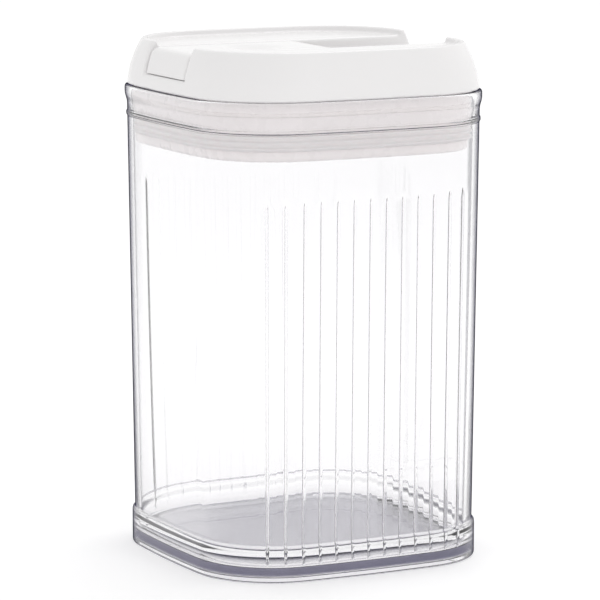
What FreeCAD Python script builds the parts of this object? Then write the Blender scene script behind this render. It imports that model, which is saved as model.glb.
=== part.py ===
import FreeCAD, Part

import math
import os

import Sketcher

# Food canister: a clear square jar and a white lid whose flip lever squeezes a seal ring.
# Origin at the bottom centre of the jar, +Z up, -Y the side of the lever's finger tab.

# Driving dimensions in millimetres. Heights named "...Below" or "...Above" are from the jar's rim.
DIMENSIONS = {
    "LipHalf": 65.5, "SideRadius": 496.5, "CornerRadius": 36.9,
    "RimHeight": 195.0, "LipHeight": 4.0, "LipTaper": 3.5, "WallInsetTop": 1.0, "WallInsetBottom": 3.4,
    "SkirtInset": 2.1, "SkirtHeight": 14.5, "WallThickness": 2.8, "FloorTop": 5.5,
    "FootDepth": 2.4, "FootWidth": 3.6, "StepBelow": 12.5, "MouthInset": 3.3,
    "BeadInset": 0.6, "BeadHeight": 1.2,
    "RibPitch": 7.3, "RibWidth": 1.4, "RibDepth": 0.9, "RibTop": 156.0,
    "CoverGap": 0.3, "CoverInset": 1.0, "CoverCorner": 36.2, "CoverHeight": 19.5, "DomeLean": 0.04,
    "DomeCurve": 90.0, "CrestInset": 6.1, "CrestWidth": 2.4, "DishDepth": 2.2, "ShellWall": 2.2,
    "ChannelHalf": 19.5, "ChannelFloor": 2.0, "SillHeight": 5.5, "SillInset": 10.0,
    "ScrewX": 40.0, "ScrewY": 34.0, "PostRadius": 4.0, "ScrewRadius": 1.45, "PilotRadius": 1.5,
    "HeadRadius": 2.8, "HeadHeight": 1.8, "ScrewLength": 11.0,
    "ChassisInset": 4.1, "ChassisBelow": 12.7, "DeckBelow": 1.8, "ChassisWall": 5.2, "CoreInset": 1.8,
    "CoreWidth": 1.6, "BossRadius": 8.5, "BossBelow": 9.0,
    "StemRadius": 4.0, "EyeHalf": 4.2, "EyeRadius": 4.2, "RunningGap": 0.05, "FitGap": 0.02, "BushWall": 2.0,
    "BushFlange": 10.4, "BushFlangeHeight": 1.0, "RingGrooveBelow": 5.0, "RingWire": 0.8,
    "WearHalfX": 17.6, "WearHalfY": 11.0, "WearThickness": 1.0, "WearHole": 5.2,
    "SealTopBelow": 12.7, "SealBottomBelow": 19.7, "SealRidgeInset": 4.25, "SealGrooveInset": 5.0,
    "SealInnerInset": 9.3, "SealRidges": 3.0,
    "PlateBelow": 24.0, "PlateInset": 6.0, "PlateSeat": 6.0, "PlateFloor": 2.0, "SpigotInset": 9.6,
    "SpigotWall": 1.8, "SpigotBelow": 15.5, "PlateBoss": 11.0, "PlateBossBelow": 19.0, "PlateEdge": 1.8,
    "CapRadius": 9.0, "CapThickness": 1.0, "WellRadius": 7.0, "WellDepth": 2.2,
    "StemFootRadius": 7.0, "StemFootHeight": 1.6, "StemScrewRadius": 1.95, "StemHeadRadius": 3.6,
    "StemHeadHeight": 1.2, "StemScrewLength": 9.0, "WasherRadius": 5.0, "WasherThickness": 0.8,
    "SpringRadius": 9.0, "SpringWire": 1.0, "SpringTurns": 3.0, "SeatRadius": 10.6, "SeatThickness": 0.6,
    "CamHeight": 8.0, "CamRate": 1.5915, "CamFlat": 4.5, "CamGap": 0.05, "LobeInner": 6.4,
    "LeverHalf": 18.3, "LeverTop": 17.0, "LeverSkin": 1.5, "LeverTail": 5.5, "LeverWall": 2.0,
    "LeverTipBelow": 7.0, "TipSetBack": 1.0, "SlotHalf": 4.7, "LinerThickness": 1.2,
    "PinRadius": 2.0, "PinHalf": 17.0, "ClipRadius": 3.6, "ClipThickness": 0.6, "ClipGap": 0.4,
    "BumperX": 13.0, "BumperY": 26.0, "BumperRadius": 2.5, "BumperHeight": 1.4,
}


class Size:
    """A length worked out from the sheet: its number and the expression that gives it."""

    def __init__(self, number, text):
        self.number = number
        self.text = text

    def join(self, sign, other, number):
        return Size(number, f"({self.text} {sign} {other.text})")

    def __add__(self, other):
        other = as_size(other)
        return self.join("+", other, self.number + other.number)

    def __sub__(self, other):
        other = as_size(other)
        return self.join("-", other, self.number - other.number)

    def __mul__(self, other):
        other = as_size(other)
        return self.join("*", other, self.number * other.number)

    def __truediv__(self, other):
        other = as_size(other)
        return self.join("/", other, self.number / other.number)

    def __neg__(self):
        return Size(-self.number, f"(-1 * {self.text})")


def as_size(thing):
    return thing if isinstance(thing, Size) else Size(float(thing), str(float(thing)))


def make_sheet(doc):
    """Fill the sheet: a name in column A, the plain number with its alias in column B."""
    sheet = doc.addObject("Spreadsheet::Sheet", "Sizes")
    for row, (alias, number) in enumerate(DIMENSIONS.items(), start=1):
        sheet.set(f"A{row}", alias)
        sheet.set(f"B{row}", str(number))
        sheet.setAlias(f"B{row}", alias)
    doc.recompute()
    return sheet


doc = FreeCAD.newDocument("FoodCanister")
sheet = make_sheet(doc)


def cell(alias):
    return Size(float(sheet.get(alias)), f"Sizes.{alias}")


def bind(thing, path, size):
    thing.setExpression(path, as_size(size).text)


ZERO = as_size(0.0)
rim = cell("RimHeight")


def below(alias):
    return rim - cell(alias)


def above(alias):
    return rim + cell(alias)


# ---------------------------------------------------------------- helpers for bodies and sketches

def new_body(label):
    body = doc.addObject("PartDesign::Body", label)
    body.Label = label
    return body


def origin_plane(body, role):
    return next(plane for plane in body.Origin.OriginFeatures if plane.Role == role)


def new_sketch(body, name, height=ZERO, role="XY_Plane"):
    """A sketch on one of the body's origin planes, moved along that plane's normal."""
    sketch = body.newObject("Sketcher::SketchObject", name)
    sketch.AttachmentSupport = [(origin_plane(body, role), "")]
    sketch.MapMode = "FlatFace"
    bind(sketch, ".AttachmentOffset.Base.z", height)
    return sketch


def fix(sketch, size, *constraint):
    """Add a dimension and bind it to the sheet."""
    size = as_size(size)
    index = sketch.addConstraint(Sketcher.Constraint(*constraint, size.number))
    bind(sketch, f"Constraints[{index}]", size)


def corner_centre(side, corner):
    """Where a corner arc's centre lies in X and Y, and how far each side arc turns from its middle."""
    shift = cell("SideRadius").number - cell("LipHalf").number
    reach = side.number - corner.number
    place = (math.sqrt(2 * reach ** 2 - shift ** 2) - shift) / 2
    return place, math.atan2(place, place + shift)


def add_outline(sketch, inset, corner=None):
    """A square with bowed sides and round corners, `inset` inside the lip's outline."""
    inset = as_size(inset)
    side = cell("SideRadius") - inset
    if corner is None:
        corner = cell("CornerRadius") - inset
    centre_shift = cell("SideRadius") - cell("LipHalf")
    shift = centre_shift.number
    corner_place, lean = corner_centre(side, corner)
    first = sketch.GeometryCount
    for quarter in range(4):
        turn = quarter * math.pi / 2
        spin = FreeCAD.Rotation(FreeCAD.Vector(0, 0, 1), math.degrees(turn))
        side_centre = spin.multVec(FreeCAD.Vector(-shift, 0, 0))
        round_centre = spin.multVec(FreeCAD.Vector(corner_place, corner_place, 0))
        up = FreeCAD.Vector(0, 0, 1)
        sketch.addGeometry(Part.ArcOfCircle(
            Part.Circle(side_centre, up, side.number), turn - lean, turn + lean), False)
        sketch.addGeometry(Part.ArcOfCircle(
            Part.Circle(round_centre, up, corner.number), turn + lean, turn + math.pi / 2 - lean), False)
    for step in range(8):
        following = (step + 1) % 8
        sketch.addConstraint(Sketcher.Constraint("Tangent", first + step, 2, first + following, 1))
    for quarter in range(4):
        side_arc = first + 2 * quarter
        along = "DistanceX" if quarter % 2 == 0 else "DistanceY"
        axis = -1 if quarter % 2 == 0 else -2
        sketch.addConstraint(Sketcher.Constraint("PointOnObject", side_arc, 3, axis))
        ends = (side_arc, 3, -1, 1) if quarter < 2 else (-1, 1, side_arc, 3)
        fix(sketch, centre_shift, along, *ends)
        fix(sketch, side, "Radius", side_arc)
        fix(sketch, corner, "Radius", side_arc + 1)


def outline(body, name, height, *insets):
    sketch = new_sketch(body, name, height)
    for inset in insets:
        add_outline(sketch, inset)
    return sketch


def dome_outline(body, name, level, inset, thickness=ZERO):
    """One level of the cover, whose corners keep their radius while its sides draw in."""
    sketch = new_sketch(body, name, rim + level)
    add_outline(sketch, as_size(inset) + thickness, cell("CoverCorner") - thickness)
    return sketch


def add_polygon(sketch, points):
    """A closed run of straight edges with every corner placed from the origin."""
    corners = [(as_size(x), as_size(y)) for x, y in points]
    first = sketch.GeometryCount
    for (x0, y0), (x1, y1) in zip(corners, corners[1:] + corners[:1]):
        sketch.addGeometry(Part.LineSegment(
            FreeCAD.Vector(x0.number, y0.number, 0), FreeCAD.Vector(x1.number, y1.number, 0)), False)
    for step in range(len(corners)):
        following = (step + 1) % len(corners)
        sketch.addConstraint(Sketcher.Constraint("Coincident", first + step, 2, first + following, 1))
    for step, (x, y) in enumerate(corners):
        for along, size, axis in (("DistanceX", x, -2), ("DistanceY", y, -1)):
            if abs(size.number) < 1e-9:
                sketch.addConstraint(Sketcher.Constraint("PointOnObject", first + step, 1, axis))
            else:
                fix(sketch, size, along, -1, 1, first + step, 1)


def polygon(body, name, points, height=ZERO, role="XY_Plane"):
    sketch = new_sketch(body, name, height, role)
    add_polygon(sketch, points)
    return sketch


def add_circle(sketch, radius, x=ZERO, y=ZERO):
    radius, x, y = as_size(radius), as_size(x), as_size(y)
    centre = FreeCAD.Vector(x.number, y.number, 0)
    index = sketch.addGeometry(Part.Circle(centre, FreeCAD.Vector(0, 0, 1), radius.number), False)
    fix(sketch, radius, "Radius", index)
    for along, size, axis in (("DistanceX", x, -2), ("DistanceY", y, -1)):
        if abs(size.number) < 1e-9:
            sketch.addConstraint(Sketcher.Constraint("PointOnObject", index, 3, axis))
        else:
            fix(sketch, size, along, -1, 1, index, 3)


def circle(body, name, radius, height=ZERO, role="XY_Plane", places=((ZERO, ZERO),)):
    sketch = new_sketch(body, name, height, role)
    for x, y in places:
        add_circle(sketch, radius, x, y)
    return sketch


def rectangle_points(x0, x1, y0, y1):
    return [(x0, y0), (x1, y0), (x1, y1), (x0, y1)]


def extrude(body, kind, sketch, length, reverse=False, both_ways=False):
    feature = body.newObject(f"PartDesign::{kind}", f"{sketch.Name}{kind}")
    feature.Profile = sketch
    bind(feature, "Length", length)
    feature.Reversed = reverse
    feature.Midplane = both_ways
    return feature


def pad(body, sketch, length, reverse=False, both_ways=False):
    return extrude(body, "Pad", sketch, length, reverse, both_ways)


def pocket(body, sketch, length, reverse=True, both_ways=False):
    """Cut along +Z from the sketch unless told otherwise; a cut that removes nothing is an error."""
    doc.recompute()
    before = body.Shape.Volume
    feature = extrude(body, "Pocket", sketch, length, reverse, both_ways)
    doc.recompute()
    if before - body.Shape.Volume < 0.01:
        raise RuntimeError(f"{feature.Name} cut nothing")
    return feature


def loft(body, kind, sections):
    feature = body.newObject(f"PartDesign::{kind}", f"{sections[0].Name}Loft")
    feature.Profile = sections[0]
    feature.Sections = sections[1:]
    feature.Ruled = True
    return feature


def revolve(body, name, points):
    """Turn a profile of (radius, height) corners once round the Z axis."""
    sketch = polygon(body, name, points, role="XZ_Plane")
    feature = body.newObject("PartDesign::Revolution", f"{name}Turn")
    feature.Profile = sketch
    feature.ReferenceAxis = (sketch, ["V_Axis"])
    feature.Angle = 360.0
    return feature


def round_edges(body, name, radius, wanted):
    """Fillet the edges of the body's tip for which wanted(edge) is true."""
    doc.recompute()
    base = body.Tip
    names = [f"Edge{number}" for number, edge in enumerate(base.Shape.Edges, start=1) if wanted(edge)]
    feature = body.newObject("PartDesign::Fillet", name)
    feature.Base = (base, names)
    bind(feature, "Radius", radius)
    return feature


def edge_at_height(height):
    """A test for edges that lie wholly at one height."""
    level = as_size(height).number

    def lies_there(edge):
        box = edge.BoundBox
        return abs(box.ZMin - level) < 0.01 and abs(box.ZMax - level) < 0.01
    return lies_there


# ---------------------------------------------------------------- the jar

def make_jar():
    body = new_body("jar")
    skirt = outline(body, "JarSkirt", ZERO, cell("SkirtInset"))
    pad(body, skirt, cell("SkirtHeight"))
    lip_bottom = rim - cell("LipHeight")
    lip_start = lip_bottom - cell("LipTaper")
    loft(body, "AdditiveLoft", [
        outline(body, "JarWallFoot", cell("FootDepth"), cell("WallInsetBottom")),
        outline(body, "JarWallHead", lip_start, cell("WallInsetTop"))])
    loft(body, "AdditiveLoft", [
        outline(body, "JarLipStart", lip_start, cell("WallInsetTop")),
        outline(body, "JarLipEnd", lip_bottom, ZERO)])
    pad(body, outline(body, "JarLip", lip_bottom, ZERO), cell("LipHeight"))
    step = below("StepBelow")
    pad(body, outline(body, "JarBead", step, cell("BeadInset")), cell("BeadHeight"))
    loft(body, "SubtractiveLoft", [
        outline(body, "JarCavityFloor", cell("FloorTop"), cell("WallInsetBottom") + cell("WallThickness")),
        outline(body, "JarCavityStep", step, cell("WallInsetTop") + cell("WallThickness"))])
    pocket(body, outline(body, "JarMouth", step, cell("MouthInset")), cell("StepBelow"))
    foot_inset = cell("SkirtInset") + cell("FootWidth")
    pocket(body, outline(body, "JarFoot", ZERO, foot_inset), cell("FootDepth"))
    for side, word in ((1, "Right"), (-1, "Left")):
        make_ribs(body, side, word)
    return body


def rib_corners(number, side):
    """The four corners of one rib's section, square to the wall's inner face at its place."""
    bury = 0.8
    inner_inset = cell("WallInsetBottom") + cell("WallThickness")
    flank, corner = cell("SideRadius") - inner_inset, cell("CornerRadius") - inner_inset
    corner_place, lean = corner_centre(flank, corner)
    along = abs(number) * cell("RibPitch").number
    past = along - flank.number * lean
    if past < 0:
        centre_x, centre_y, radius = cell("LipHalf") - cell("SideRadius"), 0.0, flank
        angle = along / flank.number
    else:
        centre_x, centre_y, radius = as_size(corner_place), corner_place, corner
        angle = lean + past / corner.number
    cosine, sine = round(math.cos(angle), 9), round(math.sin(angle), 9)
    way = 1.0 if number >= 0 else -1.0
    half = cell("RibWidth") / 2.0
    corners = []
    for depth, across in ((-cell("RibDepth"), -half), (as_size(bury), -half),
                          (as_size(bury), half), (-cell("RibDepth"), half)):
        x = centre_x + (radius + depth) * cosine - across * sine
        y = (radius + depth) * sine + across * cosine + centre_y
        corners.append((x * float(side), y * way))
    return corners


def make_ribs(body, side, word):
    """Thirteen upright ribs on the inside of one wall, each leaning with the wall."""
    half_count = 6
    sketch = new_sketch(body, f"Ribs{word}", cell("FloorTop") - 0.5)
    for number in range(-half_count, half_count + 1):
        add_polygon(sketch, rib_corners(number, side))
    ribs = pad(body, sketch, cell("RibTop") - cell("FloorTop"))
    lean = (cell("WallInsetBottom") - cell("WallInsetTop")) / (rim - cell("LipHeight"))
    ribs.UseCustomVector = True
    ribs.AlongSketchNormal = True
    ribs.Direction = FreeCAD.Vector(side * lean.number, 0, 1)
    return ribs


# ---------------------------------------------------------------- the lid's fixed pieces

def dome_inset(height):
    """How far the cover's side lies inside the lip's outline at a height above the rim."""
    height = as_size(height)
    return cell("CoverInset") + cell("DomeLean") * height + height * height / cell("DomeCurve")


def dome_levels(body, word, levels, thickness=ZERO):
    return [dome_outline(body, f"{word}{number}", as_size(level), dome_inset(level), thickness)
            for number, level in enumerate(levels)]


def four_places():
    return [(cell("ScrewX") * float(sx), cell("ScrewY") * float(sy)) for sx in (1, -1) for sy in (1, -1)]


def make_lid_cover():
    body = new_body("lid_cover")
    gap, top = cell("CoverGap"), cell("CoverHeight")
    shoulder = top - 2.5
    dome = dome_levels(body, "Dome", (gap, top * 0.3, top * 0.6, shoulder))
    dome.append(dome_outline(body, "DomeCrest", top, cell("CrestInset")))
    loft(body, "AdditiveLoft", dome)
    dish_floor = top - cell("DishDepth")
    dish = dome_outline(body, "Dish", dish_floor, cell("CrestInset"), cell("CrestWidth"))
    pocket(body, dish, cell("DishDepth"))
    wall = cell("ShellWall")
    loft(body, "SubtractiveLoft", dome_levels(body, "Hollow", (gap, top * 0.4, dish_floor - wall), wall))
    block = [(dome_inset(level) + 1.0, level) for level in (gap, top * 0.5, dish_floor)]
    right = [(cell("LipHalf") - inset, rim + level) for inset, level in block]
    left = [(-y, z) for y, z in reversed(right)]
    pad(body, polygon(body, "ChannelBlock", right + left, role="YZ_Plane"),
        (cell("ChannelHalf") + wall) * 2.0, both_ways=True)
    sill_edge = cell("LipHalf") - cell("SillInset")
    outside = cell("LipHalf") + 4.0
    end = [(sill_edge - cell("SillHeight") / 2.0, above("ChannelFloor")),
           (sill_edge, above("SillHeight")),
           (outside, rim + cell("SillHeight") - 1.2), (outside, rim + top + 5.0)]
    channel = end + [(-y, z) for y, z in reversed(end)]
    pocket(body, polygon(body, "Channel", channel, role="YZ_Plane"),
           cell("ChannelHalf") * 2.0, both_ways=True)
    pocket(body, circle(body, "StemWay", cell("StemRadius") + cell("BushWall") + 0.2, rim),
           cell("ChannelFloor") + 1.0)
    post_top = dish_floor - wall / 2.0
    posts = circle(body, "Posts", cell("PostRadius"), rim + gap, places=four_places())
    pad(body, posts, post_top - gap)
    pilots = circle(body, "Pilots", cell("PilotRadius"), rim + gap, places=four_places())
    pocket(body, pilots, cell("ScrewLength") - cell("DeckBelow"))
    bumper_posts = circle(body, "BumperPosts", cell("BumperRadius"), above("ChannelFloor") - 0.5,
                          places=bumper_places())
    pad(body, bumper_posts, bumper_seat() - above("ChannelFloor") + 0.5)
    return body


def liner_bottom():
    return above("LeverTipBelow") + 2.8


def bumper_seat():
    return liner_bottom() - 0.1 - cell("BumperHeight")


def bumper_places():
    return [(cell("BumperX") * float(side), -cell("BumperY")) for side in (1, -1)]


def make_lever_bumpers():
    first = new_body("FirstBumper")
    pad(first, circle(first, "Bumper", cell("BumperRadius"), bumper_seat(), places=bumper_places()[:1]),
        cell("BumperHeight"))
    round_edges(first, "BumperRound", as_size(0.5), edge_at_height(liner_bottom() - 0.1))
    return group("lever_bumpers", [first, mirrored(first, "OtherBumper", (1, 0, 0))])


def mirrored(source, name, normal):
    copy = doc.addObject("Part::Mirroring", name)
    copy.Source = source
    copy.Normal = FreeCAD.Vector(*normal)
    return copy


def group(label, members):
    """Like pieces that share one node as separate solids."""
    compound = doc.addObject("Part::Compound", label)
    compound.Label = label
    compound.Links = members
    return compound


def make_lid_chassis():
    body = new_body("lid_chassis")
    bottom = below("ChassisBelow")
    inset = cell("ChassisInset")
    pad(body, outline(body, "ChassisBlock", bottom, inset), cell("ChassisBelow") + cell("CoverGap"))
    pocket(body, outline(body, "ChassisHollow", bottom, inset + cell("ChassisWall")),
           cell("ChassisBelow") - cell("DeckBelow"))
    core = inset + cell("CoreInset")
    core_bottom = bottom + 2.5
    pocket(body, outline(body, "ChassisCore", core_bottom, core, core + cell("CoreWidth")),
           above("CoverGap") - core_bottom)
    pad(body, circle(body, "StemBoss", cell("BossRadius"), below("BossBelow")),
        cell("BossBelow") - cell("DeckBelow") / 2.0)
    bore = cell("StemRadius") + cell("BushWall") + cell("FitGap")
    pocket(body, circle(body, "StemBore", bore, below("BossBelow")), cell("BossBelow") + cell("CoverGap"))
    pocket(body, circle(body, "ScrewHoles", cell("PilotRadius"), below("DeckBelow"), places=four_places()),
           cell("DeckBelow") + cell("CoverGap"))
    return body


def make_chassis_screws():
    first = new_body("FirstScrew")
    place = [(cell("ScrewX"), cell("ScrewY"))]
    head_bottom = below("DeckBelow") - cell("HeadHeight")
    pad(first, circle(first, "ScrewHead", cell("HeadRadius"), head_bottom, places=place), cell("HeadHeight"))
    pad(first, circle(first, "ScrewShank", cell("ScrewRadius"), below("DeckBelow"), places=place),
        cell("ScrewLength"))
    round_edges(first, "HeadRound", as_size(0.6), edge_at_height(head_bottom))
    across = mirrored(first, "ScrewAcross", (1, 0, 0))
    return group("chassis_screws", [
        first, across, mirrored(first, "ScrewBehind", (0, 1, 0)), mirrored(across, "ScrewFar", (0, 1, 0))])


def make_wear_plate():
    body = new_body("wear_plate")
    x, y = cell("WearHalfX"), cell("WearHalfY")
    pad(body, polygon(body, "WearSheet", rectangle_points(-x, x, -y, y), above("ChannelFloor")),
        cell("WearThickness"))
    pocket(body, circle(body, "WearHoleRound", cell("WearHole"), above("ChannelFloor")),
           cell("WearThickness"))
    return body


def make_stem_bush():
    inner = cell("StemRadius") + cell("RunningGap")
    outer = cell("StemRadius") + cell("BushWall")
    boss_bottom = below("BossBelow")
    flange_bottom = boss_bottom - cell("BushFlangeHeight")
    body = new_body("stem_bush")
    revolve(body, "Bush", [
        (inner, flange_bottom), (cell("BushFlange"), flange_bottom), (cell("BushFlange"), boss_bottom),
        (outer, boss_bottom), (outer, rim + 1.2), (inner, rim + 1.2)])
    return body


def make_seal_ring():
    body = new_body("seal_ring")
    bottom = below("SealBottomBelow")
    length = cell("SealBottomBelow") - cell("SealTopBelow")
    pad(body, outline(body, "SealBlock", bottom, cell("SealGrooveInset")), length)
    count = int(cell("SealRidges").number)
    pitch = length / float(count)
    for number in range(count):
        ridge_bottom = bottom + pitch * (number + 0.2)
        pad(body, outline(body, f"SealRidge{number}", ridge_bottom, cell("SealRidgeInset")), pitch * 0.6)
    pocket(body, outline(body, "SealHole", bottom, cell("SealInnerInset")), length)
    return body


def make_return_spring():
    bottom = below("PlateBossBelow") + cell("SeatThickness")
    height = below("BossBelow") - cell("BushFlangeHeight") - bottom
    wire = cell("SpringWire")
    body = new_body("return_spring")
    sketch = new_sketch(body, "SpringWireRound", role="XZ_Plane")
    add_circle(sketch, wire / 2.0, cell("SpringRadius"), bottom + wire / 2.0)
    coil = body.newObject("PartDesign::AdditiveHelix", "SpringCoil")
    coil.Profile = sketch
    coil.ReferenceAxis = (sketch, ["V_Axis"])
    coil.Mode = "height-turns-angle"
    bind(coil, "Height", height - wire - 0.02)
    bind(coil, "Turns", cell("SpringTurns"))
    return body


# ---------------------------------------------------------------- pieces that rise with the plate

def make_compression_plate():
    body = new_body("compression_plate")
    bottom, seat = below("PlateBelow"), below("SealBottomBelow")
    inset = cell("PlateInset")
    pad(body, outline(body, "PlateBlock", bottom, inset), cell("PlateBelow") - cell("SealBottomBelow"))
    round_edges(body, "PlateRound", cell("PlateEdge"), edge_at_height(bottom))
    floor_top = bottom + cell("PlateFloor")
    pocket(body, outline(body, "PlateTray", floor_top, inset + cell("PlateSeat")), seat - floor_top)
    spigot = cell("SpigotInset")
    pad(body, outline(body, "Spigot", seat - 0.5, spigot, spigot + cell("SpigotWall")),
        cell("SealBottomBelow") - cell("SpigotBelow") + 0.5)
    boss_top = below("PlateBossBelow")
    pad(body, circle(body, "PlateBossRound", cell("PlateBoss"), bottom + cell("CapThickness")),
        boss_top - bottom - cell("CapThickness"))
    pocket(body, circle(body, "CapSeat", cell("CapRadius"), bottom), cell("CapThickness"))
    pocket(body, circle(body, "ScrewWell", cell("WellRadius"), bottom),
           cell("CapThickness") + cell("WellDepth"))
    pocket(body, circle(body, "PlateHole", cell("StemScrewRadius") + 0.15, bottom),
           cell("PlateBelow") - cell("PlateBossBelow"))
    return body


def pin_height():
    return above("ChannelFloor") + cell("WearThickness") + cell("CamGap") + cell("CamHeight")


def make_pull_stem():
    body = new_body("pull_stem")
    foot = below("PlateBossBelow")
    radius = cell("StemRadius")
    groove = radius - cell("RingWire") * 2.0
    groove_middle = below("RingGrooveBelow")
    revolve(body, "Shank", [
        (ZERO, foot), (cell("StemFootRadius"), foot),
        (cell("StemFootRadius"), foot + cell("StemFootHeight")), (radius, foot + cell("StemFootHeight")),
        (radius, groove_middle - cell("RingWire")), (groove, groove_middle - cell("RingWire")),
        (groove, groove_middle + cell("RingWire")), (radius, groove_middle + cell("RingWire")),
        (radius, pin_height()), (ZERO, pin_height())])
    eye = new_sketch(body, "Eye", role="YZ_Plane")
    add_circle(eye, cell("EyeRadius"), ZERO, pin_height())
    pad(body, eye, cell("EyeHalf") * 2.0, both_ways=True)
    hole = new_sketch(body, "EyeHole", role="YZ_Plane")
    add_circle(hole, cell("PinRadius") + cell("RunningGap"), ZERO, pin_height())
    pocket(body, hole, cell("EyeHalf") * 2.0 + 2.0, both_ways=True)
    pocket(body, circle(body, "StemThread", cell("StemScrewRadius") + cell("FitGap"), foot),
           cell("StemScrewLength"))
    return body


def make_stem_o_ring():
    ring = doc.addObject("Part::Torus", "stem_o_ring")
    ring.Label = "stem_o_ring"
    wire = cell("RingWire") - 0.05
    bind(ring, "Radius2", wire)
    bind(ring, "Radius1", cell("StemRadius") - wire)
    bind(ring, "Placement.Base.z", below("RingGrooveBelow"))
    return ring


def make_stem_screw():
    body = new_body("stem_screw")
    washer_bottom = well_top() - cell("WasherThickness")
    head_bottom = washer_bottom - cell("StemHeadHeight")
    shank_top = below("PlateBossBelow") + cell("StemScrewLength") - 0.5
    revolve(body, "StemScrewTurned", [
        (ZERO, head_bottom), (cell("StemHeadRadius"), head_bottom), (cell("StemHeadRadius"), washer_bottom),
        (cell("StemScrewRadius"), washer_bottom), (cell("StemScrewRadius"), shank_top), (ZERO, shank_top)])
    return body


def well_top():
    return below("PlateBelow") + cell("CapThickness") + cell("WellDepth")


def washer(label, inner, outer, bottom, top):
    body = new_body(label)
    revolve(body, f"{label}_section", [(inner, bottom), (outer, bottom), (outer, top), (inner, top)])
    return body


def make_sealing_washer():
    return washer("sealing_washer", cell("StemScrewRadius") + cell("FitGap"), cell("WasherRadius"),
                  well_top() - cell("WasherThickness"), well_top())


def make_spring_seat():
    body = new_body("spring_seat")
    bottom = below("PlateBossBelow")
    inner, outer, sheet_metal = cell("StemFootRadius") + 0.2, cell("SeatRadius"), cell("SeatThickness")
    revolve(body, "SeatSection", [
        (inner, bottom), (outer, bottom), (outer, bottom + sheet_metal * 3.0),
        (outer - sheet_metal, bottom + sheet_metal * 3.0), (outer - sheet_metal, bottom + sheet_metal),
        (inner, bottom + sheet_metal)])
    return body


def make_plate_cap():
    body = new_body("plate_cap")
    bottom = below("PlateBelow")
    pad(body, circle(body, "CapDisc", cell("CapRadius") - cell("FitGap"), bottom), cell("CapThickness"))
    round_edges(body, "CapRound", as_size(0.3), edge_at_height(bottom))
    return body


# ---------------------------------------------------------------- the lever and its pin

def tip(level, thickness=0.0):
    """Y of the lever's front face at a height above the rim, or of its inner side."""
    return -(cell("LipHalf") - dome_inset(level) - cell("TipSetBack")) + thickness


def cam_points(steps=12):
    """The lobe's working flank: the pin's height above the wear plate falls evenly with the turn."""
    points = []
    for step in range(steps + 1):
        angle = step * math.pi / 2 / steps
        arm = cell("CamHeight") - cell("CamRate") * angle
        sine, cosine = as_size(round(math.sin(angle), 9)), as_size(round(math.cos(angle), 9))
        across = arm * sine - cell("CamRate") * cosine
        up = -(arm * cosine) - cell("CamRate") * sine
        points.append((across, pin_height() + up))
    return points


def make_flip_lever():
    body = new_body("flip_lever")
    top, skin, low = cell("LeverTop"), cell("LeverSkin"), cell("LeverTipBelow")
    tail = cell("LeverTail")
    edge = low + 2.0
    profile = [(tail, rim + top), (tip(top, 2.2), rim + top), (tip(top - 1.6), rim + top - 1.6),
               (tip(top * 0.7), rim + top * 0.7), (tip(low), rim + low), (tip(low, 2.4), rim + low),
               (tip(edge, 6.0), rim + edge), (-(tail + 3.5), rim + edge), (tail, rim + edge)]
    width = cell("LeverHalf") * 2.0
    pad(body, polygon(body, "LeverSide", profile, role="YZ_Plane"), width, both_ways=True)
    inside_top = top - skin
    hollow = [(tip(inside_top, 2.6), rim + inside_top), (tip(low - 1.0, 2.4), rim + low - 1.0),
              (-(tail + 3.5), rim + low - 1.0), (-(tail + 3.5), rim + inside_top)]
    pocket(body, polygon(body, "LeverHollow", hollow, role="YZ_Plane"),
           width - cell("LeverWall") * 2.0, both_ways=True)
    front = -(cell("CamFlat") + cell("CamRate"))
    flank = cam_points()
    lobe = flank + [(tail, rim + edge + 1.0), (-(tail + 3.5), rim + edge + 1.0),
                    (-(tail + 3.5), rim + edge - 1.0), (front, flank[0][1])]
    for side, word in ((1, "Right"), (-1, "Left")):
        sketch = polygon(body, f"Lobe{word}", lobe, cell("LobeInner") * float(side), "YZ_Plane")
        pad(body, sketch, cell("LeverHalf") - cell("LobeInner"), reverse=side < 0)
    slot = rectangle_points(-(tail + 3.6), tail + 1.0, rim, rim + inside_top)
    pocket(body, polygon(body, "EyeSlot", slot, role="YZ_Plane"), cell("LobeInner") * 2.0, both_ways=True)
    bore = new_sketch(body, "PinBore", role="YZ_Plane")
    add_circle(bore, cell("PinRadius") + cell("FitGap"), ZERO, pin_height())
    pocket(body, bore, width + 2.0, both_ways=True)
    return body


def make_lever_liner():
    body = new_body("lever_liner")
    bottom = liner_bottom()
    level = bottom - rim
    front, back = tip(level, 3.8), -(cell("LeverTail") + 3.7)
    half = cell("LeverHalf") - cell("LeverWall") - 0.05
    pad(body, polygon(body, "LinerSheet", rectangle_points(-half, half, front, back), bottom),
        cell("LinerThickness"))
    return body


def make_hinge_pin():
    pin = doc.addObject("Part::Cylinder", "hinge_pin")
    pin.Label = "hinge_pin"
    bind(pin, "Radius", cell("PinRadius"))
    bind(pin, "Height", cell("PinHalf") * 2.0)
    pin.Placement = FreeCAD.Placement(
        FreeCAD.Vector(0, 0, 0), FreeCAD.Rotation(FreeCAD.Vector(0, 1, 0), 90))
    bind(pin, "Placement.Base.x", -cell("PinHalf"))
    bind(pin, "Placement.Base.z", pin_height())
    return pin


def make_pin_clips():
    first = new_body("FirstClip")
    sketch = new_sketch(first, "ClipRing", cell("EyeHalf") + cell("ClipGap"), "YZ_Plane")
    add_circle(sketch, cell("ClipRadius"), ZERO, pin_height())
    add_circle(sketch, cell("PinRadius") + 0.01, ZERO, pin_height())
    pad(first, sketch, cell("ClipThickness"))
    return group("pin_clips", [first, mirrored(first, "OtherClip", (1, 0, 0))])


# ---------------------------------------------------------------- run and export

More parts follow.
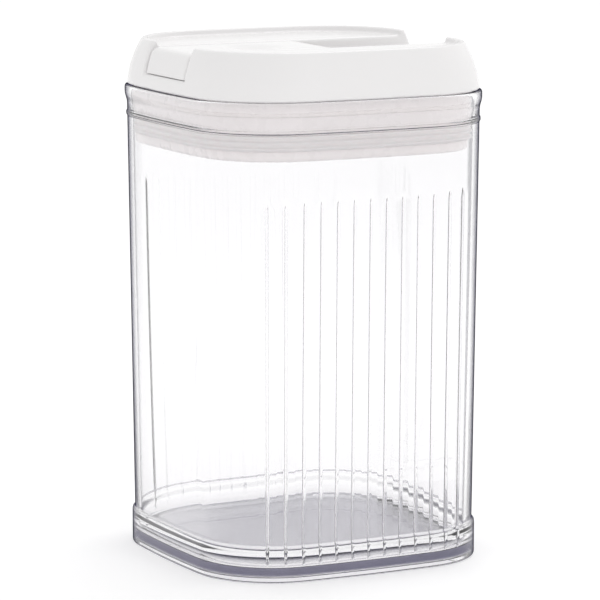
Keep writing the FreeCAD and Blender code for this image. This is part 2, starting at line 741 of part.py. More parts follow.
def check_document():
    doc.recompute()
    for thing in doc.Objects:
        if "Invalid" in thing.State or "Error" in thing.State:
            raise RuntimeError(f"{thing.Name} did not recompute: {thing.State}")


def export(parts):
    check_document()
    os.makedirs("parts", exist_ok=True)
    for part in parts:
        shape = part.Shape
        if shape.isNull() or not shape.isValid():
            raise RuntimeError(f"{part.Label} has a bad shape")
        shape.exportStep(os.path.join("parts", f"{part.Label}.step"))
        print(part.Label, len(shape.Solids), round(shape.Volume, 1), shape.BoundBox)


export([
    make_jar(), make_lid_cover(), make_lid_chassis(), make_wear_plate(), make_stem_bush(),
    make_seal_ring(), make_return_spring(), make_chassis_screws(), make_lever_bumpers(),
    make_compression_plate(), make_pull_stem(), make_stem_o_ring(), make_stem_screw(),
    make_sealing_washer(), make_plate_cap(), make_spring_seat(),
    make_flip_lever(), make_lever_liner(), make_hinge_pin(), make_pin_clips(),
])
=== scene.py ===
import math
from types import SimpleNamespace

import bmesh
import bpy
import numpy as np
from bpy.props import FloatProperty, FloatVectorProperty, IntProperty, PointerProperty
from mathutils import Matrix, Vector


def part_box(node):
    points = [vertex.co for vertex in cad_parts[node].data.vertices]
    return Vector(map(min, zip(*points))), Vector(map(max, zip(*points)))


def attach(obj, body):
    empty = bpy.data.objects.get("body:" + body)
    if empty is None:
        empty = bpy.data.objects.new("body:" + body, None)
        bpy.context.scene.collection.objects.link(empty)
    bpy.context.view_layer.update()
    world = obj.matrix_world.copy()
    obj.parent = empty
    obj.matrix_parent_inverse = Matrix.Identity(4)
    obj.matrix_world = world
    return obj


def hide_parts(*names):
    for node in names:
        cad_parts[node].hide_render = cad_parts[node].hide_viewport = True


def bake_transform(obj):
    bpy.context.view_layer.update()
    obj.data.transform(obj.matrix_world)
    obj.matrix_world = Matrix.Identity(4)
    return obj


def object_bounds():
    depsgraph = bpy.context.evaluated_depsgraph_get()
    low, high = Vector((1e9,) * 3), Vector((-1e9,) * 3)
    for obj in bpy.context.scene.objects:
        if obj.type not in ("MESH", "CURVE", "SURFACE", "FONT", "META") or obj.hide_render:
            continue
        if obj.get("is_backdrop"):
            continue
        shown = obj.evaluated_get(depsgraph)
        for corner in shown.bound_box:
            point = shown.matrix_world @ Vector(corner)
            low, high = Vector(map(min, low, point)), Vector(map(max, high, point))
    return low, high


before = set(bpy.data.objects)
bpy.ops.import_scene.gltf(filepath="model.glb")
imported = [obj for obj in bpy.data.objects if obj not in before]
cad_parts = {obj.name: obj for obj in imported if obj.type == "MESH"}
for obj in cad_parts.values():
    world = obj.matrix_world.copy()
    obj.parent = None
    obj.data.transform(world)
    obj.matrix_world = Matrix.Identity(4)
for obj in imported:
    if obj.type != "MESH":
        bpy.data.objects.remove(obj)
CAD_LOW, CAD_HIGH = (corner.copy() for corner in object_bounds())

bl_info = {
    "name": "Food canister",
    "version": (1, 0, 0),
    "blender": (4, 5, 0),
    "location": "View3D > Sidebar > Canister",
    "description": "Builds a clear square canister with a flip-lever lid around its engineering model",
    "category": "Add Mesh",
}

MM = 0.001


# ---- places read from the frame, in mm

def low(node):
    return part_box(node)[0] / MM


def high(node):
    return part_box(node)[1] / MM


def middle(node):
    return (low(node) + high(node)) / 2


RIM = high("jar").z
LIP_HALF = high("jar").x
COVER_BOTTOM = low("lid_cover").z
CREST = high("lid_cover").z - RIM
CHANNEL_FLOOR = low("wear_plate").z - RIM
PIN = middle("hinge_pin").z - RIM
SEAL_TOP = high("seal_ring").z
SEAL_BOTTOM = low("seal_ring").z
PLATE_BOTTOM = low("compression_plate").z
LEVER_HALF = high("flip_lever").x
LEVER_TAIL = high("flip_lever").y
LEVER_TOP = high("flip_lever").z - RIM
CAM_REACH = PIN - (low("flip_lever").z - RIM)


# ---- what a user may change

def length(name, description, millimetres):
    """A property that holds a length."""
    return FloatProperty(name=name, description=description, default=millimetres * MM,
                         subtype="DISTANCE", unit="LENGTH")


def colour(name, description, red, green, blue):
    """A property that holds a colour."""
    return FloatVectorProperty(name=name, description=description, subtype="COLOR", size=3,
                               default=(red, green, blue), min=0.0, max=1.0)


def amount(name, description, value, **limits):
    """A property that holds a plain number."""
    return FloatProperty(name=name, description=description, default=value, **limits)


class JarSizes(bpy.types.PropertyGroup):
    """Sizes of the clear jar. An inset is how far a face lies inside the lip's outline."""

    wall: length("Wall", "Thickness of the side walls", 2.8)
    wall_low: length("Wall inset, foot", "Inset of the wall's outer face at the foot", 3.4)
    wall_high: length("Wall inset, head", "Inset of the wall's outer face at the head", 1.0)
    skirt_inset: length("Skirt inset", "Inset of the band round the foot", 2.1)
    skirt_height: length("Skirt height", "Height of the band round the foot", 14.5)
    floor_top: length("Floor", "Height of the inside floor", 5.5)
    foot_width: length("Foot width", "Width of the ring that the jar stands on", 3.6)
    foot_depth: length("Foot depth", "Depth of the hollow under the floor", 2.4)
    lip_height: length("Lip height", "Height of the lip's upright band", 4.0)
    lip_taper: length("Lip taper", "Height over which the wall widens to the lip", 3.0)
    step_below: length("Step", "Depth of the step that stops the plug, below the rim", 12.5)
    mouth_inset: length("Mouth inset", "Inset of the mouth's inner face", 3.3)
    bead_inset: length("Bead inset", "Inset of the small bead outside the step", 0.6)
    rib_pitch: length("Rib pitch", "Distance from rib to rib along the wall", 7.3)
    rib_width: length("Rib width", "Width of one rib at its root", 1.4)
    rib_depth: length("Rib depth", "How far a rib stands inward", 0.9)
    rib_top: length("Rib top", "Height where the ribs end", 157.0)
    rib_count: IntProperty(name="Ribs", description="Ribs on each ribbed wall", default=13, min=1)


class CoverSizes(bpy.types.PropertyGroup):
    """Sizes of the lid's domed cover."""

    wall: length("Wall", "Thickness of the shell", 2.2)
    inset: length("Inset", "Inset of the cover's lower edge", 1.0)
    corner: length("Corner", "Radius of the upright corners, the same at every height", 36.2)
    crest_width: length("Crest width", "Width of the rounded rim round the stacking dish", 2.4)
    crest_round: length("Crest rounding", "Softness of the crest's outer edge", 0.9)
    dish_depth: length("Dish depth", "Depth of the stacking dish", 2.2)
    channel_half: length("Channel", "Half the width of the lever's channel", 19.5)
    channel_round: length("Channel rounding", "Softness of the channel's edges", 1.7)
    sill_rise: length("Sill", "How far the channel's mouth stands above its floor", 4.1)
    sill_start: length("Sill start", "Distance from the centre where the sill begins", 51.5)
    post: length("Post", "Radius of the four screw posts", 4.0)
    dome_lean: amount("Dome lean", "Inward lean of the side at its foot", 0.04)
    dome_curve: length("Dome curve", "Larger makes the side rounder more slowly", 90.0)


class LeverSizes(bpy.types.PropertyGroup):
    """Sizes of the flip lever."""

    skin: length("Skin", "Thickness of the top", 1.6)
    wall: length("Wall", "Thickness of the side walls", 2.0)
    set_back: length("Set back", "How far the tip lies inside the cover's side", 1.0)
    tip_low: length("Tip", "Height of the tip's lower edge above the rim", 6.3)
    belly: length("Belly", "Height of the underside above the rim", 9.0)
    nose_round: length("Nose rounding", "Softness of the tip's upper edge", 2.6)
    dimple_depth: length("Dimple depth", "Depth of the press dimple in the top", 2.0)
    dimple_back: length("Dimple place", "Distance of the dimple's middle from the pin", 22.5)
    dimple_half: length("Dimple radius", "Radius of the press dimple", 13.5)
    lobe_inner: length("Lobe", "Distance from the middle to the inner side of a cam lobe", 6.4)
    cam_rate: length("Cam rate", "Fall of the cam for each radian of turn", 1.5915)
    bore: length("Bore", "Radius of the hole for the pin", 2.02)


class PlugSizes(bpy.types.PropertyGroup):
    """Sizes of the plug under the cover: chassis, seal and compression plate."""

    chassis_inset: length("Chassis inset", "Inset of the chassis wall's outer face", 4.1)
    chassis_wall: length("Chassis wall", "Thickness of the chassis wall", 5.2)
    deck: length("Deck", "Thickness of the chassis deck below the rim", 1.8)
    groove_depth: length("Groove", "Depth of the moulded groove round the chassis", 0.7)
    groove_below: length("Groove place", "Depth of the groove's middle below the rim", 4.8)
    boss: length("Boss", "Radius of the boss round the stem bush", 8.5)
    boss_bore: length("Boss bore", "Radius of the bore for the stem bush", 6.02)
    boss_below: length("Boss depth", "Depth of the boss below the rim", 9.0)
    seal_ridge: length("Seal ridge", "Inset of the seal's ridges", 4.25)
    seal_groove: length("Seal groove", "Inset of the seal's grooves", 5.1)
    seal_inner: length("Seal inner", "Inset of the seal's inner face", 9.3)
    plate_inset: length("Plate inset", "Inset of the compression plate's edge", 6.0)
    plate_floor: length("Plate floor", "Thickness of the plate's floor", 2.0)
    spigot_inset: length("Spigot inset", "Inset of the spigot that carries the seal", 9.6)
    spigot_wall: length("Spigot wall", "Thickness of the spigot", 1.8)
    seal_ridges: IntProperty(name="Ridges", description="Ridges round the seal", default=3, min=1)


class FittingSizes(bpy.types.PropertyGroup):
    """Sizes of the screws, spring, bumpers and clips."""

    screw_x: length("Screw place X", "Distance of the chassis screws from the middle, along X", 40.0)
    screw_y: length("Screw place Y", "Distance of the chassis screws from the middle, along Y", 34.0)
    head_radius: length("Head", "Radius of a chassis screw's head", 2.8)
    head_height: length("Head height", "Height of a chassis screw's head", 1.8)
    shank_radius: length("Shank", "Radius over the threads of a chassis screw", 1.45)
    stem_head: length("Stem screw head", "Radius of the stem screw's head", 3.6)
    stem_head_height: length("Stem head height", "Height of the stem screw's head", 1.2)
    stem_shank: length("Stem screw shank", "Radius over the threads of the stem screw", 1.95)
    thread_pitch: length("Thread pitch", "Distance from thread to thread", 1.1)
    coil_radius: length("Coil", "Radius of the return spring at its wire's middle", 9.0)
    coil_wire: length("Wire", "Radius of the return spring's wire", 0.5)
    bumper_radius: length("Bumper", "Radius of a rest bumper", 2.5)
    bumper_x: length("Bumper place", "Distance of the bumpers from the middle", 13.0)
    clip_radius: length("Clip", "Outer radius of a pin clip", 3.6)
    clip_thickness: length("Clip thickness", "Thickness of a pin clip", 0.6)
    coil_turns: amount("Turns", "Turns of the return spring", 3.0, min=1.0)


class Finishes(bpy.types.PropertyGroup):
    """Colours of the plastics and metals, and the painted shade at the clear jar's edges."""

    white: colour("White", "Lid and lever", 0.83, 0.822, 0.825)
    plug: colour("Plug white", "Chassis and compression plate", 0.88, 0.845, 0.835)
    seal: colour("Seal", "Silicone seal", 0.84, 0.81, 0.80)
    clear: colour("Clear", "Body of the clear jar", 0.968, 0.965, 0.972)
    # Painted shade for the clear jar's edges, standing in for the dark surroundings seen through them.
    edge_painted_shade: colour("Clear edge", "Jar plastic where it is seen edge on", 0.05, 0.045, 0.12)
    slide: colour("Slide", "Low-friction plastic of the bush, stem and wear plate", 0.74, 0.73, 0.70)
    rubber: colour("Rubber", "O-ring and sealing washer", 0.03, 0.03, 0.03)
    spring: colour("Spring steel", "Spring, clips and seat", 0.62, 0.62, 0.63)
    turned: colour("Turned steel", "Screws and pin", 0.56, 0.56, 0.57)


class StageSettings(bpy.types.PropertyGroup):
    """The floor, the light and the view."""

    surround: amount("Surround", "Strength of the white surround", 1.0)
    front_share: amount("Front share", "Share of it that comes from the -Y side", 0.85)
    top_lamp: amount("Top lamp", "Power of the lamp above, in watts", 1.1)
    floor_glow: amount("Floor glow", "Light that the floor table gives", 0.17)
    lens: amount("Lens", "Focal length in millimetres", 224.2)
    view_azimuth: amount("Azimuth", "Turn of the view about the upright axis", math.radians(63.257),
                         subtype="ANGLE", unit="ROTATION")
    view_tilt: amount("Tilt", "How far the view looks down", math.radians(8.967),
                      subtype="ANGLE", unit="ROTATION")
    view_place: FloatVectorProperty(name="Viewpoint", description="Where the camera stands", size=3,
                                    subtype="TRANSLATION", default=(1.3800, -0.6963, 0.3488))


GROUPS = (
    ("canister_jar", JarSizes), ("canister_cover", CoverSizes), ("canister_lever", LeverSizes),
    ("canister_plug", PlugSizes), ("canister_fittings", FittingSizes), ("canister_finishes", Finishes),
    ("canister_stage", StageSettings),
)


def in_mm(context, name):
    """A group's values by their names, with the lengths in millimetres."""
    group = getattr(context.scene, name)
    values = {}
    for key in type(group).__annotations__:
        value = getattr(group, key)
        is_length = group.bl_rna.properties[key].unit == "LENGTH"
        values[key] = value / MM if is_length else value
    return SimpleNamespace(**values)


# ---- the outline shared by jar and lid

SIDE_RADIUS = 496.5
CORNER_RADIUS = 36.9
SIDE_SHIFT = SIDE_RADIUS - LIP_HALF


def corner_place(side_radius, corner_radius):
    """Where a corner arc's centre lies in X and Y for sides and corners of these radii."""
    reach = side_radius - corner_radius
    return (np.sqrt(2 * reach ** 2 - SIDE_SHIFT ** 2) - SIDE_SHIFT) / 2


def side_lean(place):
    """How far a side's arc turns from its middle to the corner."""
    return np.arctan2(place, place + SIDE_SHIFT)


def outline_distance(x, y, inset, corner_radius):
    """Signed distance to a square with bowed sides, negative inside."""
    ax, ay = np.abs(x), np.abs(y)
    along, across = np.maximum(ax, ay), np.minimum(ax, ay)
    side_radius = SIDE_RADIUS - inset
    place = corner_place(side_radius, corner_radius)
    on_side = np.arctan2(across, along + SIDE_SHIFT) < side_lean(place)
    side = np.hypot(along + SIDE_SHIFT, across) - side_radius
    corner = np.hypot(along - place, across - place) - corner_radius
    return np.where(on_side, side, corner)


def outline_ring(side_steps, corner_halves):
    """Points of the lip's outline and their outward normals, once round from the +X side.

    side_steps gives the steps on each side, corner_halves those on the two halves of each corner."""
    place = corner_place(SIDE_RADIUS, CORNER_RADIUS)
    lean = side_lean(place)
    points, normals = [], []
    for quarter, (steps, halves) in enumerate(zip(side_steps, corner_halves)):
        turn = quarter * math.pi / 2
        spin = np.array([[math.cos(turn), -math.sin(turn)], [math.sin(turn), math.cos(turn)]])
        quarter_mark = math.pi / 4
        for centre, radius, start, end, count in (
                ((-SIDE_SHIFT, 0.0), SIDE_RADIUS, -lean, lean, steps),
                ((place, place), CORNER_RADIUS, lean, quarter_mark, halves[0]),
                ((place, place), CORNER_RADIUS, quarter_mark, 2 * quarter_mark - lean, halves[1])):
            angle = np.linspace(start, end, count, endpoint=False)
            normal = np.column_stack([np.cos(angle), np.sin(angle)])
            points.append((np.array(centre) + radius * normal) @ spin.T)
            normals.append(normal @ spin.T)
    return np.concatenate(points), np.concatenate(normals)


def ease(value):
    """0 to 1 with level ends."""
    t = np.clip(value, 0.0, 1.0)
    return t * t * (3 - 2 * t)


# ---- mesh tools

def new_object(name, vertices, faces):
    """A smooth mesh object from points in mm."""
    mesh = bpy.data.meshes.new(name)
    mesh.from_pydata((np.asarray(vertices) * MM).tolist(), [], [tuple(face) for face in faces])
    mesh.update()
    mesh.shade_smooth()
    return link_mesh(name, mesh)


def link_mesh(name, mesh):
    piece = bpy.data.objects.new(name, mesh)
    bpy.context.scene.collection.objects.link(piece)
    return piece


def close_seams(piece):
    """Merge doubled points and turn every face of the closed mesh outwards."""
    work = bmesh.new()
    work.from_mesh(piece.data)
    bmesh.ops.remove_doubles(work, verts=work.verts, dist=0.002 * MM)
    bmesh.ops.recalc_face_normals(work, faces=work.faces)
    work.to_mesh(piece.data)
    work.free()
    return piece


def soft_line(corners, steps=4):
    """(a, b, radius) corners joined by straight runs, each corner rounded by its radius."""
    points = [np.array(corners[0][:2])]
    for before, here, after in zip(corners, corners[1:], corners[2:]):
        start, turn, end = (np.array(corner[:2]) for corner in (before, here, after))
        radius = min(here[2], np.linalg.norm(turn - start) * 0.49, np.linalg.norm(end - turn) * 0.49)
        enter = turn + (start - turn) / np.linalg.norm(start - turn) * radius
        leave = turn + (end - turn) / np.linalg.norm(end - turn) * radius
        for t in np.linspace(0, 1, steps + 1) if radius > 0.01 else (0.5,):
            points.append((1 - t) ** 2 * enter + 2 * t * (1 - t) * turn + t ** 2 * leave)
    points.append(np.array(corners[-1][:2]))
    return points


def grid_faces(rows, columns):
    """Quads between neighbouring rows of closed rings."""
    faces = []
    for row in range(rows - 1):
        start = row * columns
        for column in range(columns):
            following = (column + 1) % columns
            faces.append((start + column, start + following,
                          start + columns + following, start + columns + column))
    return faces


EVEN_SIDES = (24,) * 4
EVEN_CORNERS = ((12, 12),) * 4


def ring_shell(name, profile, side_steps=EVEN_SIDES, corner_halves=EVEN_CORNERS, closed=False,
               relief=None):
    """Sweep (height, inset) points round the outline. Open ends are closed flat to the centre.

    relief(points, height, inset) may return an inset for every point of one ring."""
    base, normal = outline_ring(side_steps, corner_halves)
    rings = []
    for height, inset in profile:
        depth = inset if relief is None else relief(base, height, inset)
        depth = np.broadcast_to(depth, len(base))[:, None]
        rings.append(np.column_stack([base - depth * normal, np.full(len(base), height)]))
    columns = len(base)
    if closed:
        rings.append(rings[0])
    else:
        inner_rings = (0.66, 0.33)
        start = [ring_scaled(rings[0], share) for share in reversed(inner_rings)]
        end = [ring_scaled(rings[-1], share) for share in inner_rings]
        rings = start + rings + end
    faces = grid_faces(len(rings), columns)
    vertices = np.concatenate(rings)
    if not closed:
        last = len(vertices) - columns
        first_centre, last_centre = len(vertices), len(vertices) + 1
        for column in range(columns):
            following = (column + 1) % columns
            faces.append((first_centre, following, column))
            faces.append((last_centre, last + column, last + following))
        centres = np.array([[0, 0, rings[0][0, 2]], [0, 0, rings[-1][0, 2]]])
        vertices = np.concatenate([vertices, centres])
    return close_seams(new_object(name, vertices, faces))


def ring_scaled(ring, share):
    scaled = ring.copy()
    scaled[:, :2] *= share
    return scaled


def lathe(name, corners, steps=64):
    """Turn a closed run of (radius, height, rounding) corners about the Z axis."""
    profile = soft_line(corners, 3)
    angles = np.linspace(0, 2 * math.pi, steps, endpoint=False)
    rings = [np.column_stack([radius * np.cos(angles), radius * np.sin(angles), np.full(steps, height)])
             for radius, height in profile]
    rings.append(rings[0])
    return close_seams(new_object(name, np.concatenate(rings), grid_faces(len(rings), steps)))


def join(name, pieces):
    """Join closed shells into one object."""
    work = bmesh.new()
    for piece in pieces:
        work.from_mesh(piece.data)
        bpy.data.objects.remove(piece)
    mesh = bpy.data.meshes.new(name)
    work.to_mesh(mesh)
    work.free()
    mesh.shade_smooth()
    return link_mesh(name, mesh)


# ---- solids from distance rules

def blend_max(a, b, soft):
    """The larger of two distances, with a rounded edge where they meet."""
    share = np.clip(0.5 + 0.5 * (a - b) / soft, 0.0, 1.0)
    return a * share + b * (1 - share) + soft * share * (1 - share)


def blend_min(a, b, soft):
    return -blend_max(-a, -b, soft)


def cut(solid, tool, soft):
    return blend_max(solid, -tool, soft)


def slab(value, lowest, highest, soft):
    return blend_max(lowest - value, value - highest, soft)


def post(x, y, place_x, place_y, radius):
    return np.hypot(x - place_x, y - place_y) - radius


EDGES = [(axis, a, b) for axis in range(3) for a in (0, 1) for b in (0, 1)]


def shifted(field, offset, size):
    return field[tuple(slice(o, o + s) for o, s in zip(offset, size))]


def solid_from_distance(name, distance, lowest, highest, step):
    """Mesh the surface where distance(x, y, z) is nought: one point in each crossed cell of an
    even grid, then moved along the slope until it lies on the surface."""
    centres = [(a + b) / 2 for a, b in zip(lowest, highest)]
    counts = [int((b - a) / 2 / step) + 2 for a, b in zip(lowest, highest)]
    axes = [centre + step * (np.arange(-count, count) + 0.5) for centre, count in zip(centres, counts)]
    field = distance(*np.meshgrid(*axes, indexing="ij"))
    cells = [size - 1 for size in field.shape]
    total = np.zeros(cells + [3])
    hits = np.zeros(cells)
    for axis, a, b in EDGES:
        start = [a, b]
        start.insert(axis, 0)
        end = list(start)
        end[axis] = 1
        f0, f1 = shifted(field, start, cells), shifted(field, end, cells)
        crossed = (f0 < 0) != (f1 < 0)
        share = np.where(crossed, f0 / np.where(crossed, f0 - f1, 1.0), 0.0)
        for other in range(3):
            total[..., other] += np.where(crossed, start[other] + (share if other == axis else 0.0), 0.0)
        hits += crossed
    used = hits > 0
    number = np.full(cells, -1)
    number[used] = np.arange(used.sum())
    origin = np.array([axis[0] for axis in axes])
    points = origin + step * (np.argwhere(used) + total[used] / hits[used][:, None])
    faces = crossing_quads(field < 0, number)
    least_slope = 0.05
    for _ in range(5):
        value = distance(*points.T)
        slope = slope_at(distance, points)
        move = np.clip(value / np.maximum((slope ** 2).sum(1), least_slope), -step, step)
        points -= move[:, None] * slope
    return new_object(name, points, faces)


def slope_at(distance, points, reach=0.03):
    slope = np.empty_like(points)
    for axis in range(3):
        ahead, behind = points.copy(), points.copy()
        ahead[:, axis] += reach
        behind[:, axis] -= reach
        slope[:, axis] = (distance(*ahead.T) - distance(*behind.T)) / (2 * reach)
    return slope


def crossing_quads(inside, number):
    """One quad for each grid edge that the surface crosses, facing outwards."""
    quads = []
    for axis in range(3):
        one, two = (axis + 1) % 3, (axis + 2) % 3
        begin = [slice(1, -1)] * 3
        begin[axis] = slice(0, -1)
        finish = list(begin)
        finish[axis] = slice(1, None)
        near, far = inside[tuple(begin)], inside[tuple(finish)]
        places = np.argwhere(near != far)
        outwards = near[near != far]
        places[:, one] += 1
        places[:, two] += 1
        around = []
        for da, db in ((-1, -1), (0, -1), (0, 0), (-1, 0)):
            cell = places.copy()
            cell[:, one] += da
            cell[:, two] += db
            around.append(number[tuple(cell.T)])
        quad = np.column_stack(around)
        quad[~outwards] = quad[~outwards][:, ::-1]
        quads.append(quad)
    return np.concatenate(quads)


# ---- node trees that build meshes

def new_tree(name, **inputs):
    """An empty geometry tree with a named input for each size."""
    tree = bpy.data.node_groups.new(name, "GeometryNodeTree")
    tree.interface.new_socket("Geometry", in_out="INPUT", socket_type="NodeSocketGeometry")
    tree.interface.new_socket("Geometry", in_out="OUTPUT", socket_type="NodeSocketGeometry")
    for label, kind in inputs.items():
        tree.interface.new_socket(label, in_out="INPUT", socket_type=f"NodeSocket{kind}")
    return tree, tree.nodes.new("NodeGroupInput").outputs


def add_step(tree, kind, **links):
    """Add a node and feed its inputs, named with underscores, from sockets or plain values."""
    node = tree.nodes.new(kind)
    for label, source in links.items():
        socket = node.inputs[label.replace("_", " ")]
        if isinstance(source, bpy.types.NodeSocket):
            tree.links.new(source, socket)
        else:
            socket.default_value = source
    return node


def end_tree(tree, geometry, material):
    """Realize what is instanced, give it its material and lead it out."""
    real = add_step(tree, "GeometryNodeRealizeInstances", Geometry=geometry)
    finished = add_step(tree, "GeometryNodeSetMaterial", Geometry=real.outputs["Geometry"],
                        Material=material)
    smooth = add_step(tree, "GeometryNodeSetShadeSmooth", Geometry=finished.outputs["Geometry"])
    out = tree.nodes.new("NodeGroupOutput")
    tree.links.new(smooth.outputs["Geometry"], out.inputs["Geometry"])
    return tree


def grow(name, tree, **values):
    """Run a tree with the given inputs and keep its result as a plain mesh."""
    holder = link_mesh(name, bpy.data.meshes.new(f"{name}_seed"))
    modifier = holder.modifiers.new("grow", "NODES")
    modifier.node_group = tree
    for item in tree.interface.items_tree:
        key = item.name.replace(" ", "_")
        if item.in_out == "INPUT" and key in values:
            modifier[item.identifier] = values[key]
    bpy.context.view_layer.update()
    depsgraph = bpy.context.evaluated_depsgraph_get()
    mesh = bpy.data.meshes.new_from_object(holder.evaluated_get(depsgraph), depsgraph=depsgraph)
    holder.modifiers.clear()
    if not mesh.polygons:
        raise RuntimeError(f"{name} came out empty")
    holder.data = mesh
    mesh.name = name
    return holder


def copies_tree():
    """Copies of one item on an even grid of places."""
    tree, sizes = new_tree("copies", Item="Object", Columns="Int", Rows="Int", Width="Float",
                           Depth="Float", Centre="Vector", Finish="Material")
    grid = add_step(tree, "GeometryNodeMeshGrid", Size_X=sizes["Width"], Size_Y=sizes["Depth"],
                    Vertices_X=sizes["Columns"], Vertices_Y=sizes["Rows"])
    item = add_step(tree, "GeometryNodeObjectInfo", Object=sizes["Item"])
    copies = add_step(tree, "GeometryNodeInstanceOnPoints", Points=grid.outputs["Mesh"],
                      Instance=item.outputs["Geometry"])
    placed = add_step(tree, "GeometryNodeTransform", Geometry=copies.outputs["Instances"],
                      Translation=sizes["Centre"])
    return end_tree(tree, placed.outputs["Geometry"], sizes["Finish"])


def coil_tree():
    """A round wire wound evenly about the Z axis, with closed ends."""
    tree, sizes = new_tree("coil", Turns="Float", Radius="Float", Height="Float", Wire="Float",
                           Foot="Vector", Finish="Material")
    line = add_step(tree, "GeometryNodeCurveSpiral", Resolution=48, Rotations=sizes["Turns"],
                    Start_Radius=sizes["Radius"], End_Radius=sizes["Radius"], Height=sizes["Height"])
    section = add_step(tree, "GeometryNodeCurvePrimitiveCircle", Resolution=14, Radius=sizes["Wire"])
    wire = add_step(tree, "GeometryNodeCurveToMesh", Curve=line.outputs["Curve"],
                    Profile_Curve=section.outputs["Curve"], Fill_Caps=True)
    placed = add_step(tree, "GeometryNodeTransform", Geometry=wire.outputs["Mesh"],
                      Translation=sizes["Foot"])
    return end_tree(tree, placed.outputs["Geometry"], sizes["Finish"])


def copy_item(name, item, columns, rows, width, depth, centre, material):
    """Lay copies of an item out in mm, then drop the item itself."""
    piece = grow(name, copies_tree(), Item=item, Columns=columns, Rows=rows, Width=width * MM,
                 Depth=depth * MM, Centre=tuple(value * MM for value in centre), Finish=finish(material))
    bpy.data.objects.remove(item)
    return piece


# ---- materials

MATERIAL_NAME = "canister_"


def finish(name):
    """A material that make_finishes has made."""
    return bpy.data.materials[MATERIAL_NAME + name]


def new_material(name):
    """Make a node material; give its tree, its Principled shader and object coordinates."""
    material = bpy.data.materials.new(MATERIAL_NAME + name)
    material.use_nodes = True
    tree = material.node_tree
    shader = tree.nodes["Principled BSDF"]
    place = tree.nodes.new("ShaderNodeTexCoord").outputs["Object"]
    return tree, shader, place


def noise(tree, place, scale, detail):
    return add_step(tree, "ShaderNodeTexNoise", Vector=place, Scale=scale, Detail=detail).outputs["Fac"]


def spread(tree, source, lowest, highest, start=0.0, end=1.0):
    """Map a value that runs from start to end onto another pair of limits."""
    return add_step(tree, "ShaderNodeMapRange", Value=source, From_Min=start, From_Max=end,
                    To_Min=lowest, To_Max=highest).outputs["Result"]


def tint(tree, share, first, second):
    """Mix two colours."""
    mix = tree.nodes.new("ShaderNodeMix")
    mix.data_type = "RGBA"
    tree.links.new(share, mix.inputs["Factor"])
    colours = [socket for socket in mix.inputs if socket.type == "RGBA"]
    for socket, value in zip(colours, (first, second)):
        socket.default_value = (*value, 1.0)
    return next(socket for socket in mix.outputs if socket.type == "RGBA")


def raise_bumps(tree, shader, source, strength, distance):
    bump = add_step(tree, "ShaderNodeBump", Height=source, Strength=strength, Distance=distance)
    tree.links.new(bump.outputs["Normal"], shader.inputs["Normal"])


def dress(tree, shader, place, mottle, colours, haze, roughness, skin, strength, depth):
    """Give a shader its two mottled colours, its run of roughness and its bumps. mottle, haze and
    skin are the (scale, detail) of their noises."""
    blend = tint(tree, noise(tree, place, *mottle), *colours)
    tree.links.new(blend, shader.inputs["Base Color"])
    gloss = spread(tree, noise(tree, place, *haze), *roughness)
    tree.links.new(gloss, shader.inputs["Roughness"])
    raise_bumps(tree, shader, noise(tree, place, *skin), strength, depth)


def moulded_plastic(name, colour, roughness, warmth=0.985):
    """Moulded plastic: faint flow marks, handling haze and a very fine skin."""
    tree, shader, place = new_material(name)
    warmer = (colour[0], colour[1] * (1 + warmth) / 2, colour[2] * warmth)
    dress(tree, shader, place, (14.0, 3.0), (colour, warmer), (160.0, 4.0),
          (roughness * 0.8, roughness * 1.35), (900.0, 2.0), 0.05, 0.0002)
    shader.inputs["IOR"].default_value = 1.5


def clear_plastic(name, clear, edge):
    """Clear moulded plastic with a painted shade where it is seen edge on, standing in for the dark
    surroundings seen through its edges. Shadow and diffuse rays pass straight.
    """
    tree, shader, place = new_material(name)
    facing = tree.nodes.new("ShaderNodeLayerWeight")
    facing.inputs["Blend"].default_value = 0.5
    # Painted shade: base colour and see-through colour turn dark navy towards the silhouettes, standing in
    # for dark surroundings refracted at the edges.
    clear_up_to, dark_from = 0.64, 0.9
    painted_edge_shade_share = spread(tree, facing.outputs["Facing"], 0.0, 1.0, clear_up_to, dark_from)
    seen = tint(tree, painted_edge_shade_share, clear, edge)
    tree.links.new(seen, shader.inputs["Base Color"])
    shader.inputs["Transmission Weight"].default_value = 1.0
    shader.inputs["IOR"].default_value = 1.5
    haze = noise(tree, place, 70.0, 5.0)
    tree.links.new(spread(tree, haze, 0.0, 0.025), shader.inputs["Roughness"])
    raise_bumps(tree, shader, noise(tree, place, 22.0, 1.0), 0.05, 0.0004)
    passing = add_step(tree, "ShaderNodeBsdfTransparent", Color=seen)
    path = tree.nodes.new("ShaderNodeLightPath").outputs
    # The painted edge shade also lets rays pass straight through in its dark colour.
    straight = painted_edge_shade_share
    for ray in ("Is Shadow Ray", "Is Diffuse Ray"):
        larger = tree.nodes.new("ShaderNodeMath")
        larger.operation = "MAXIMUM"
        tree.links.new(straight, larger.inputs[0])
        tree.links.new(path[ray], larger.inputs[1])
        straight = larger.outputs["Value"]
    mix = tree.nodes.new("ShaderNodeMixShader")
    tree.links.new(straight, mix.inputs["Fac"])
    tree.links.new(shader.outputs["BSDF"], mix.inputs[1])
    tree.links.new(passing.outputs["BSDF"], mix.inputs[2])
    tree.links.new(mix.outputs["Shader"], tree.nodes["Material Output"].inputs["Surface"])


def silicone(name, colour):
    """Soft rubber: satin, a little cloudy."""
    tree, shader, place = new_material(name)
    cloud = (45.0, 4.0)
    darker = tuple(channel * 0.95 for channel in colour)
    dress(tree, shader, place, cloud, (darker, colour), cloud, (0.42, 0.6), (1400.0, 2.0), 0.15, 0.0001)
    shader.inputs["Subsurface Weight"].default_value = 0.15
    shader.inputs["Subsurface Radius"].default_value = (0.002, 0.0015, 0.0015)
    shader.inputs["IOR"].default_value = 1.41


